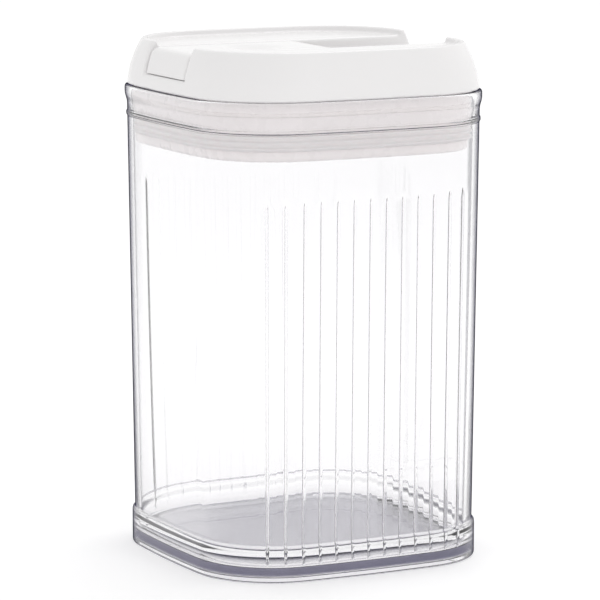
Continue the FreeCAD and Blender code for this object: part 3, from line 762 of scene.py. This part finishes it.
def steel(name, colour, roughness, stretch):
    """Drawn or turned steel with fine lines across the piece."""
    tree, shader, place = new_material(name)
    mapping = add_step(tree, "ShaderNodeMapping", Vector=place, Scale=(1.0, 1.0, stretch))
    lines = (600.0, 3.0)
    worn = tuple(channel * 0.85 for channel in colour)
    dress(tree, shader, mapping.outputs["Vector"], lines, (worn, colour), lines,
          (roughness * 0.7, roughness * 1.4), lines, 0.1, 0.00005)
    shader.inputs["Metallic"].default_value = 1.0


def make_finishes(context):
    """Every material of the canister, each under the name of its finish slot or use."""
    colours = in_mm(context, "canister_finishes")
    moulded_plastic("white_shell", tuple(colours.white), 0.16)
    moulded_plastic("white_frame", tuple(colours.plug), 0.26)
    moulded_plastic("slide_plastic", tuple(colours.slide), 0.42, 0.95)
    clear_plastic("clear_body", tuple(colours.clear), tuple(colours.edge_painted_shade))
    silicone("silicone", tuple(colours.seal))
    silicone("dark_rubber", tuple(colours.rubber))
    steel("spring_steel", tuple(colours.spring), 0.25, 6.0)
    steel("screw_steel", tuple(colours.turned), 0.3, 12.0)


def finish_piece(piece, name, *nodes):
    """Give a piece the material of that name in its only slot, and hide the engineering nodes it stands in
    for.
    """
    piece.data.materials.clear()
    piece.data.materials.append(finish(name))
    for face in piece.data.polygons:
        face.material_index = 0
    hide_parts(*nodes)


# ---- the jar

def rib_relief(jar):
    """Ribs with shallow hollows between them on the inner faces of the two X walls, fading out
    at their tops. Places run along the wall's inner outline, on into the corners."""
    place = corner_place(SIDE_RADIUS, CORNER_RADIUS)
    lean = side_lean(place)
    inner_inset = jar.wall_low + jar.wall
    flank, corner = SIDE_RADIUS - inner_inset, CORNER_RADIUS - inner_inset
    hollow, top_fade, foot_fade = 0.08, 6.0, 4.0
    last = (jar.rib_count - 1) // 2

    def relief(base, height, inset):
        fade = ease((jar.rib_top - height) / top_fade) * ease((height - jar.floor_top) / foot_fade)
        if inset < jar.wall_low or fade <= 0:
            return inset
        ax, ay = np.abs(base[:, 0]), np.abs(base[:, 1])
        side_angle = np.arctan2(ay, ax + SIDE_SHIFT)
        corner_angle = np.arctan2(ay - place, ax - place)
        along = np.where(side_angle < lean, flank * side_angle,
                         flank * lean + corner * (corner_angle - lean))
        offset = np.abs(along - np.clip(np.round(along / jar.rib_pitch), 0, last) * jar.rib_pitch)
        rib = 0.5 + 0.5 * np.cos(np.pi * np.clip(offset / (jar.rib_width / 2), 0, 1))
        between = np.clip(offset / (jar.rib_pitch / 2), 0, 1)
        scallop = hollow * (1 - between ** 2) * (offset < jar.rib_pitch / 2)
        return inset + np.where(ax > ay, fade * (jar.rib_depth * rib + scallop), 0.0)
    return relief


def jar_profile(jar):
    """The jar's section from the centre of its foot, up the outside, over the lip and down inside."""
    foot_inset = jar.skirt_inset + jar.foot_width
    foot_flat, floor_flat = 6, 14.0
    step = RIM - jar.step_below
    bead_start, bead_end = step - 0.1, step + 1.1
    lip_start = RIM - jar.lip_height - jar.lip_taper
    outside = soft_line([
        (jar.foot_depth, foot_inset + foot_flat, 0), (jar.foot_depth, foot_inset, 0.7),
        (0.0, foot_inset - 0.4, 0.6), (0.0, jar.skirt_inset, 1.2),
        (jar.skirt_height, jar.skirt_inset, 0.6),
        (jar.skirt_height + 0.5, jar.wall_low - 0.2, 0.5), (bead_start - 0.5, jar.wall_high + 0.05, 0.6),
        (bead_start, jar.bead_inset, 0.4), (bead_end, jar.bead_inset, 0.4),
        (bead_end + 0.5, jar.wall_high, 0.6), (lip_start, jar.wall_high, 3.0),
        (RIM - jar.lip_height + 0.1, 0.0, 1.4), (RIM, 0.0, 1.3), (RIM, jar.mouth_inset, 1.3),
        (step, jar.mouth_inset, 0.5), (step, jar.wall_high + jar.wall, 0.4),
        (step - 4.0, jar.wall_high + jar.wall + 0.05, 0)])
    inner_low = jar.wall_low + jar.wall
    fade_levels = np.linspace(jar.rib_top + 0.5, jar.rib_top - 5.0, 8)
    levels = np.concatenate([np.linspace(step - 8, jar.rib_top + 4, 3), fade_levels,
                             np.linspace(140, 22, 10), np.linspace(16, 12, 3)])
    slant = (jar.wall_high - jar.wall_low) / (step - jar.floor_top)
    spans = [(z, inner_low + slant * (z - jar.floor_top)) for z in levels]
    floor = soft_line([(12.0, inner_low - 0.1, 0), (jar.floor_top, inner_low, 6.0),
                       (jar.floor_top, inner_low + floor_flat, 0)], 8)
    return outside + spans + floor


def make_jar(context):
    jar = in_mm(context, "canister_jar")
    plain, ribbed = 16, 75
    halves = ((ribbed, plain), (plain, ribbed)) * 2
    piece = ring_shell("jar_shell", jar_profile(jar), side_steps=(200, 24, 200, 24), corner_halves=halves,
                       relief=rib_relief(jar))
    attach(piece, "jar")
    finish_piece(piece, "clear_body", "jar")


# ---- the lid's cover and lever

def dome_inset(cover, height):
    """How far the cover's side lies inside the lip's outline, for a height above the rim."""
    return cover.inset + cover.dome_lean * height + height ** 2 / cover.dome_curve


def dome_slope(cover, height):
    """Scale that turns a level distance to the dome into a square one."""
    return np.sqrt(1 + (cover.dome_lean + 2 * height / cover.dome_curve) ** 2)


def crest_inset(cover):
    """Inset of the crest's outer edge."""
    return dome_inset(cover, CREST) + 0.2


def channel_level(cover, y):
    """Height of the channel's floor above the rim: low in the middle, a sill at each mouth."""
    sill_run = 3.5
    return CHANNEL_FLOOR + cover.sill_rise * ease((np.abs(y) - cover.sill_start) / sill_run)


def cover_rule(cover, fittings):
    """The cover's solid as a signed distance."""
    dish_floor = CREST - cover.dish_depth
    dish_inset = crest_inset(cover) + cover.crest_width
    post_top = dish_floor - cover.wall / 2
    stem_hole, deck_over_stem = 6.2, 1.0

    def distance(x, y, z):
        h = z - RIM
        side = outline_distance(x, y, dome_inset(cover, h), cover.corner) / dome_slope(cover, h)
        body = blend_max(side, h - CREST, cover.crest_round)
        dish = outline_distance(x, y, dish_inset, cover.corner - cover.crest_width)
        body = cut(body, blend_max(dish, dish_floor - h, 1.5), 1.0)
        channel = blend_max(np.abs(x) - cover.channel_half, channel_level(cover, y) - h, 1.5)
        body = cut(body, channel, cover.channel_round)
        hollow = blend_max(side + cover.wall, h - (dish_floor - cover.wall), 2.0)
        hollow = blend_max(hollow, cover.channel_half + cover.wall - np.abs(x), 1.5)
        body = cut(body, hollow, 0.5)
        column = post(np.abs(x), np.abs(y), fittings.screw_x, fittings.screw_y, cover.post)
        body = blend_min(body, blend_max(column, h - post_top, 0.4), 0.6)
        body = blend_max(body, COVER_BOTTOM - z, 0.5)
        stem_way = blend_max(np.hypot(x, y) - stem_hole, h - CHANNEL_FLOOR - deck_over_stem, 0.3)
        return cut(body, stem_way, 0.4)
    return distance


def make_cover(context):
    rule = cover_rule(in_mm(context, "canister_cover"), in_mm(context, "canister_fittings"))
    shell = solid_from_distance("cover_shell", rule, (-LIP_HALF, -LIP_HALF, COVER_BOTTOM - 1),
                                (LIP_HALF, LIP_HALF, RIM + CREST + 1), 0.8)
    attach(shell, "lid")
    finish_piece(shell, "white_shell", "lid_cover")


CAM_ROOM = 0.12


def lever_rule(cover, lever):
    """The lever's solid as a signed distance: a hollow tongue with two cam lobes at its pin."""
    ceiling = LEVER_TOP - lever.skin
    behind = LEVER_TAIL + 3.5
    dimple_edge, tip_wall, lip_depth, lip_run = 1.15, 2.2, 2.0, 5.0

    def distance(x, y, z):
        h = z - RIM
        ax = np.abs(x)
        tip_face = dome_inset(cover, h) + lever.set_back - LIP_HALF
        front = (tip_face - y) / dome_slope(cover, h)
        reach = np.hypot(x, y + lever.dimple_back) / lever.dimple_half
        dimple = lever.dimple_depth * ease(dimple_edge - reach)
        lift = ease((y - tip_face - lip_depth) / lip_run)
        under = lever.tip_low + (lever.belly - lever.tip_low) * lift
        block = blend_max(h - LEVER_TOP + dimple, front, lever.nose_round)
        block = blend_max(block, ax - LEVER_HALF, 1.2)
        block = blend_max(block, under - h, 0.7)
        block = blend_max(block, y - LEVER_TAIL + CAM_ROOM, 1.6)
        hollow = blend_max(h - ceiling + dimple, front + tip_wall, 1.0)
        hollow = blend_max(hollow, ax - (LEVER_HALF - lever.wall), 0.8)
        body = cut(block, blend_max(hollow, y + behind, 0.6), 0.5)
        lobe = slab(ax, lever.lobe_inner, LEVER_HALF, 0.5)
        body = blend_min(body, blend_max(lobe, lobe_plan(lever, y, h - PIN), 0.4), 0.3)
        slot = blend_max(blend_max(ax - lever.lobe_inner, h - ceiling + dimple, 0.5), -(y + behind), 0.4)
        body = cut(body, slot, 0.4)
        return cut(body, np.hypot(y, h - PIN) - lever.bore, 0.2)
    return distance


def lobe_plan(lever, y, up):
    """Side view of a cam lobe: its lower rear flank nears the pin evenly as the lever turns."""
    quarter, largest_turn = math.pi / 2, 0.3
    angle = np.clip(np.arctan2(y + lever.cam_rate / 2, -up), 0.0, quarter)
    for _ in range(3):
        slope = y * np.cos(angle) + up * np.sin(angle) + lever.cam_rate
        bend = up * np.cos(angle) - y * np.sin(angle)
        turn = np.clip(slope / np.minimum(bend, -1.0), -largest_turn, largest_turn)
        angle = np.clip(angle - turn, 0.0, quarter)
    flank = y * np.sin(angle) - up * np.cos(angle) - (CAM_REACH - CAM_ROOM - lever.cam_rate * angle)
    flat_front, lobe_top = 6.1, 4.5
    return blend_max(blend_max(flank, -(y + flat_front), 1.0), up - lobe_top, 0.5)


def make_lever(context):
    rule = lever_rule(in_mm(context, "canister_cover"), in_mm(context, "canister_lever"))
    lever = solid_from_distance("lever_shell", rule, (-LEVER_HALF, -LIP_HALF, low("flip_lever").z - 1),
                                (LEVER_HALF, LEVER_TAIL + 1, RIM + LEVER_TOP + 1), 0.55)
    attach(lever, "lever")
    finish_piece(lever, "white_shell", "flip_lever")


# ---- the plug under the cover

def make_chassis(context):
    plug = in_mm(context, "canister_plug")
    outer, inner = plug.chassis_inset, plug.chassis_inset + plug.chassis_wall
    flat_reach = 6
    deck, top = RIM - plug.deck, high("lid_chassis").z
    groove_middle = RIM - plug.groove_below
    groove_half, groove_slant = 0.5, 0.3
    groove = [(groove_middle - groove_half - groove_slant, outer, 0.3),
              (groove_middle - groove_half, outer + plug.groove_depth, 0.2),
              (groove_middle + groove_half, outer + plug.groove_depth, 0.2),
              (groove_middle + groove_half + groove_slant, outer, 0.3)]
    profile = soft_line([
        (deck, inner + flat_reach, 0), (deck, inner, 1.2), (SEAL_TOP, inner, 0.4),
        (SEAL_TOP, outer, 0.9), *groove, (top, outer, 0.6), (top, outer + flat_reach, 0)], 3)
    boss_foot = RIM - plug.boss_below
    boss = lathe("chassis_boss", [
        (plug.boss_bore, boss_foot + 1, 0), (plug.boss_bore, boss_foot, 0), (plug.boss, boss_foot, 0.8),
        (plug.boss + 0.4, deck + 0.4, 0), (plug.boss_bore, deck + 0.4, 0),
        (plug.boss_bore, boss_foot + 1, 0)])
    chassis = join("chassis_shell", [ring_shell("chassis_wall", profile), boss])
    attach(chassis, "lid")
    finish_piece(chassis, "white_frame", "lid_chassis")


def stretch_piece(piece):
    """Bake a springy piece's placing into its mesh."""
    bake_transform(piece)


def make_seal(context):
    plug = in_mm(context, "canister_plug")
    pitch = (SEAL_TOP - SEAL_BOTTOM) / plug.seal_ridges
    edge = plug.seal_groove + 0.2
    corners = [(SEAL_BOTTOM, edge, 0)]
    for number in range(plug.seal_ridges):
        start = SEAL_BOTTOM + pitch * number
        for share, inset, rounding in ((0.15, plug.seal_groove, 0.3), (0.35, plug.seal_ridge, 0.4),
                                       (0.65, plug.seal_ridge, 0.4), (0.85, plug.seal_groove, 0.3)):
            corners.append((start + pitch * share, inset, rounding))
    corners += [(SEAL_TOP, edge, 0.3), (SEAL_TOP, plug.seal_inner, 0.4),
                (SEAL_BOTTOM, plug.seal_inner, 0.4), (SEAL_BOTTOM, edge, 0)]
    seal = ring_shell("seal_loop", soft_line(corners, 3), closed=True)
    stretch_piece(seal)
    finish_piece(seal, "silicone", "seal_ring")


def make_plate(context):
    plug = in_mm(context, "canister_plug")
    floor = PLATE_BOTTOM + plug.plate_floor
    boss_top = low("spring_seat").z
    spigot_top = high("compression_plate").z
    spigot_in = plug.spigot_inset + plug.spigot_wall
    tray = ring_shell("plate_tray", soft_line([
        (PLATE_BOTTOM, plug.plate_inset + 8, 0), (PLATE_BOTTOM, plug.plate_inset, 2.2),
        (SEAL_BOTTOM, plug.plate_inset, 0.4), (SEAL_BOTTOM, plug.spigot_inset, 0.2),
        (spigot_top, plug.spigot_inset, 0.6), (spigot_top, spigot_in, 0.6),
        (SEAL_BOTTOM, spigot_in + 0.2, 0.3), (floor, spigot_in + 0.7, 0.6), (floor, spigot_in + 9, 0)]))
    bore, boss = 2.1, 11.0
    column = lathe("plate_boss", [
        (bore, floor, 0), (bore, floor - 0.5, 0), (boss + 0.6, floor - 0.5, 0), (boss, boss_top, 0.6),
        (bore, boss_top, 0), (bore, floor, 0)])
    plate = join("plate_shell", [tray, column])
    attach(plate, "plate")
    finish_piece(plate, "white_frame", "compression_plate")


# ---- screws, spring, bumpers and clips

def screw_rule(head, head_height, shank, shank_length, pitch):
    """A cross-head screw that points up, its head's face at nought."""
    thread_depth, point_length, point_share = 0.32, 2.5, 0.7
    recess_arm, recess_half, recess_depth, recess_slant = head * 0.62, head * 0.16, head_height * 0.6, 0.35
    crown_rise, foot = 0.05, head_height + shank_length

    def distance(x, y, z):
        radius = np.hypot(x, y)
        crown = crown_rise * radius ** 2
        pan = blend_max(slab(z, crown, head_height, 0.25), radius - head, 0.5)
        turn = np.arctan2(y, x) / (2 * math.pi)
        wave = np.abs(((z / pitch - turn) % 1.0) - 0.5) * 2
        point = ease((z - foot + point_length) / point_length) * shank * point_share
        rod = blend_max(radius - shank + thread_depth * wave + point, z - foot, 0.2)
        body = blend_min(pan, blend_max(rod, -z, 0.1), 0.15)
        ax, ay = np.abs(x), np.abs(y)
        arms = np.minimum(np.maximum(ax - recess_arm, ay - recess_half),
                          np.maximum(ay - recess_arm, ax - recess_half))
        taper = np.clip(z, 0, recess_depth) * recess_slant
        return cut(body, blend_max(arms + taper, z - recess_depth, 0.1), 0.08)
    return distance


def lay_screws(name, node, head, head_height, shank, pitch, count=1, width=0, depth=0):
    """count by count screws that fill a node's height, width and depth apart."""
    foot, step = low(node).z, 0.22
    shank_length = high(node).z - foot - head_height
    item = solid_from_distance(f"one_{name}", screw_rule(head, head_height, shank, shank_length, pitch),
                               (-head, -head, -0.5), (head, head, head_height + shank_length + 0.5), step)
    return copy_item(name, item, count, count, width, depth, (0, 0, foot), "screw_steel")


def make_screws(context):
    fittings = in_mm(context, "canister_fittings")
    screws = lay_screws("cover_screws", "chassis_screws", fittings.head_radius, fittings.head_height,
                        fittings.shank_radius, fittings.thread_pitch, 2, 2 * fittings.screw_x,
                        2 * fittings.screw_y)
    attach(screws, "lid")
    finish_piece(screws, "screw_steel", "chassis_screws")
    stem_screw = lay_screws("plate_screw", "stem_screw", fittings.stem_head, fittings.stem_head_height,
                            fittings.stem_shank, fittings.thread_pitch)
    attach(stem_screw, "plate")
    finish_piece(stem_screw, "screw_steel", "stem_screw")


def make_spring(context):
    fittings = in_mm(context, "canister_fittings")
    wire = fittings.coil_wire
    foot, top = low("return_spring").z, high("return_spring").z
    spring = grow("coil_spring", coil_tree(), Turns=fittings.coil_turns, Radius=fittings.coil_radius * MM,
                  Height=(top - foot - 2 * wire) * MM, Wire=wire * MM,
                  Foot=(0.0, 0.0, (foot + wire) * MM), Finish=finish("spring_steel"))
    stretch_piece(spring)
    finish_piece(spring, "spring_steel", "return_spring")


def make_bumpers(context):
    fittings = in_mm(context, "canister_fittings")
    foot, top = low("lever_bumpers").z, high("lever_bumpers").z
    radius = fittings.bumper_radius
    item = lathe("one_bumper", [
        (0.01, 0, 0), (radius, 0, 0.1), (radius, (top - foot) * 0.6, 0.3),
        (radius * 0.6, top - foot, 0.6), (0.01, top - foot, 0), (0.01, 0, 0)], 40)
    place = (0, middle("lever_bumpers").y, foot)
    bumpers = copy_item("rest_bumpers", item, 2, 1, 2 * fittings.bumper_x, 0, place, "silicone")
    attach(bumpers, "lid")
    finish_piece(bumpers, "silicone", "lever_bumpers")


def clip_rule(fittings):
    """A spring clip: a ring with an open mouth below and three lands that grip the pin."""
    grip, land_half, relief, mouth_share = 2.01, 0.55, 0.7, 0.75
    third = 2 * math.pi / 3

    def distance(x, y, z):
        radius, angle = np.hypot(y, z), np.arctan2(y, z)
        ring = slab(radius, grip + relief, fittings.clip_radius, 0.15)
        arm = np.abs((angle + third / 2) % third - third / 2) * radius
        lands = blend_max(slab(radius, grip, grip + relief + 0.3, 0.1), arm - land_half, 0.15)
        mouth = blend_max(np.abs(y) - grip * mouth_share, z, 0.2)
        sheet = np.abs(x) - fittings.clip_thickness / 2
        return blend_max(cut(np.minimum(ring, lands), mouth, 0.2), sheet, 0.1)
    return distance


def make_clips(context):
    fittings = in_mm(context, "canister_fittings")
    reach = fittings.clip_radius
    half = fittings.clip_thickness / 2
    item = solid_from_distance("one_clip", clip_rule(fittings), (-half, -reach, -reach),
                               (half, reach, reach), 0.13)
    spacing = 2 * (high("pin_clips").x - half)
    clips = copy_item("spring_clips", item, 2, 1, spacing, 0, (0, 0, RIM + PIN), "spring_steel")
    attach(clips, "lever")
    finish_piece(clips, "spring_steel", "pin_clips")


# ---- carried pieces

CARRIED = {
    "slide_plastic": ("wear_plate", "stem_bush", "pull_stem"),
    "dark_rubber": ("stem_o_ring", "sealing_washer"),
    "spring_steel": ("spring_seat",),
    "screw_steel": ("hinge_pin",),
    "white_frame": ("plate_cap", "lever_liner"),
}


def finish_carried_pieces():
    for material, nodes in CARRIED.items():
        for node in nodes:
            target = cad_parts[node]
            target.data.materials.clear()
            target.data.materials.append(finish(material))


# ---- stage

def make_floor(glow):
    half = 6.0
    corners = [(-half, -half, 0), (half, -half, 0), (half, half, 0), (-half, half, 0)]
    floor = new_object("studio_floor", np.array(corners) / MM, [(0, 1, 2, 3)])
    tree, shader, place = new_material("floor_paper")
    paper = tint(tree, noise(tree, place, 30.0, 3.0), (0.90, 0.90, 0.90), (0.92, 0.92, 0.92))
    tree.links.new(paper, shader.inputs["Base Color"])
    shader.inputs["Roughness"].default_value = 0.9
    shader.inputs["Emission Color"].default_value = (1.0, 1.0, 1.0, 1.0)
    shader.inputs["Emission Strength"].default_value = glow
    floor.data.materials.append(finish("floor_paper"))
    floor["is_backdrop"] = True


def make_lamp(power):
    """A soft square lamp above the canister, behind it and to its left."""
    place, aim, size = Vector((-0.25, 0.35, 0.9)), Vector((0, 0, RIM * MM)), 0.5
    lamp = bpy.data.lights.new("top", "AREA")
    lamp.shape = "RECTANGLE"
    lamp.size = lamp.size_y = size
    lamp.energy = power
    holder = bpy.data.objects.new("top", lamp)
    holder.location = place
    holder.rotation_euler = (aim - place).to_track_quat("-Z", "Y").to_euler()
    bpy.context.scene.collection.objects.link(holder)


def make_surround(strength, front_share):
    """A white surround, seen as pure white, that lights the scene a little less strongly, and
    least from the -Y side."""
    world = bpy.data.worlds.new("studio")
    bpy.context.scene.world = world
    world.use_nodes = True
    tree = world.node_tree
    back = tree.nodes["Background"]
    back.inputs["Color"].default_value = (1.0, 1.0, 1.0, 1.0)
    way = tree.nodes.new("ShaderNodeTexCoord").outputs["Generated"]
    sideways = add_step(tree, "ShaderNodeSeparateXYZ", Vector=way).outputs["Y"]
    shade = spread(tree, sideways, strength * front_share, strength, -1.0, 0.2)
    path = tree.nodes.new("ShaderNodeLightPath")
    tree.links.new(spread(tree, path.outputs["Is Camera Ray"], shade, 1.0), back.inputs["Strength"])


def make_camera(stage):
    camera = bpy.data.cameras.new("view")
    camera.sensor_width = 36.0
    camera.lens = stage.lens
    holder = bpy.data.objects.new("view", camera)
    holder.location = stage.view_place
    holder.rotation_euler = (math.pi / 2 - stage.view_tilt, 0.0, stage.view_azimuth)
    bpy.context.scene.collection.objects.link(holder)
    bpy.context.scene.camera = holder


# ---- operators

class CANISTER_OT_finishes(bpy.types.Operator):
    """Make every material of the canister"""

    bl_idname = "canister.finishes"
    bl_label = "Finishes"

    def execute(self, context):
        make_finishes(context)
        return {"FINISHED"}


class CANISTER_OT_jar(bpy.types.Operator):
    """Build the clear ribbed jar"""

    bl_idname = "canister.jar"
    bl_label = "Jar"

    def execute(self, context):
        make_jar(context)
        return {"FINISHED"}


class CANISTER_OT_cover(bpy.types.Operator):
    """Build the white domed cover with its dish and channel"""

    bl_idname = "canister.cover"
    bl_label = "Cover"

    def execute(self, context):
        make_cover(context)
        return {"FINISHED"}


class CANISTER_OT_lever(bpy.types.Operator):
    """Build the flip lever with its two cam lobes"""

    bl_idname = "canister.lever"
    bl_label = "Flip lever"

    def execute(self, context):
        make_lever(context)
        return {"FINISHED"}


class CANISTER_OT_plug(bpy.types.Operator):
    """Build the plug under the cover: chassis, seal and compression plate"""

    bl_idname = "canister.plug"
    bl_label = "Plug and seal"

    def execute(self, context):
        make_chassis(context)
        make_seal(context)
        make_plate(context)
        return {"FINISHED"}


class CANISTER_OT_screws(bpy.types.Operator):
    """Build the cross-head screws"""

    bl_idname = "canister.screws"
    bl_label = "Screws"

    def execute(self, context):
        make_screws(context)
        return {"FINISHED"}


class CANISTER_OT_spring(bpy.types.Operator):
    """Wind the return spring"""

    bl_idname = "canister.spring"
    bl_label = "Return spring"

    def execute(self, context):
        make_spring(context)
        return {"FINISHED"}


class CANISTER_OT_bumpers_clips(bpy.types.Operator):
    """Build the lever's rest bumpers and the pin's clips"""

    bl_idname = "canister.bumpers_clips"
    bl_label = "Bumpers and clips"

    def execute(self, context):
        make_bumpers(context)
        make_clips(context)
        return {"FINISHED"}


class CANISTER_OT_carried(bpy.types.Operator):
    """Give the inner pieces that keep their engineering shape their finishes"""

    bl_idname = "canister.carried"
    bl_label = "Inner pieces"

    def execute(self, context):
        finish_carried_pieces()
        return {"FINISHED"}


class CANISTER_OT_stage(bpy.types.Operator):
    """Set up the floor, the light and the camera"""

    bl_idname = "canister.stage"
    bl_label = "Stage"

    def execute(self, context):
        stage = context.scene.canister_stage
        make_floor(stage.floor_glow)
        make_surround(stage.surround, stage.front_share)
        make_camera(stage)
        make_lamp(stage.top_lamp)
        context.scene.view_settings.view_transform = "Standard"
        return {"FINISHED"}


OPERATORS = (
    CANISTER_OT_finishes, CANISTER_OT_jar, CANISTER_OT_cover, CANISTER_OT_lever, CANISTER_OT_plug,
    CANISTER_OT_screws, CANISTER_OT_spring, CANISTER_OT_bumpers_clips, CANISTER_OT_carried,
    CANISTER_OT_stage,
)


class VIEW3D_PT_canister(bpy.types.Panel):
    """Sizes, finishes and building steps of the canister"""

    bl_label = "Food canister"
    bl_space_type = "VIEW_3D"
    bl_region_type = "UI"
    bl_category = "Canister"

    def draw(self, context):
        for name, group in GROUPS:
            box = self.layout.box()
            box.label(text=group.__doc__.split(".")[0])
            for key in group.__annotations__:
                box.prop(getattr(context.scene, name), key)
        for operator in OPERATORS:
            self.layout.operator(operator.bl_idname)


def register():
    for name, group in GROUPS:
        bpy.utils.register_class(group)
        setattr(bpy.types.Scene, name, PointerProperty(type=group))
    for operator in OPERATORS:
        bpy.utils.register_class(operator)
    bpy.utils.register_class(VIEW3D_PT_canister)


def unregister():
    bpy.utils.unregister_class(VIEW3D_PT_canister)
    for operator in reversed(OPERATORS):
        bpy.utils.unregister_class(operator)
    for name, group in reversed(GROUPS):
        delattr(bpy.types.Scene, name)
        bpy.utils.unregister_class(group)


def main():
    register()
    steps = bpy.ops.canister
    steps.finishes()
    steps.jar()
    steps.cover()
    steps.lever()
    steps.plug()
    steps.screws()
    steps.spring()
    steps.bumpers_clips()
    steps.carried()
    steps.stage()


if __name__ == "__main__":
    main()
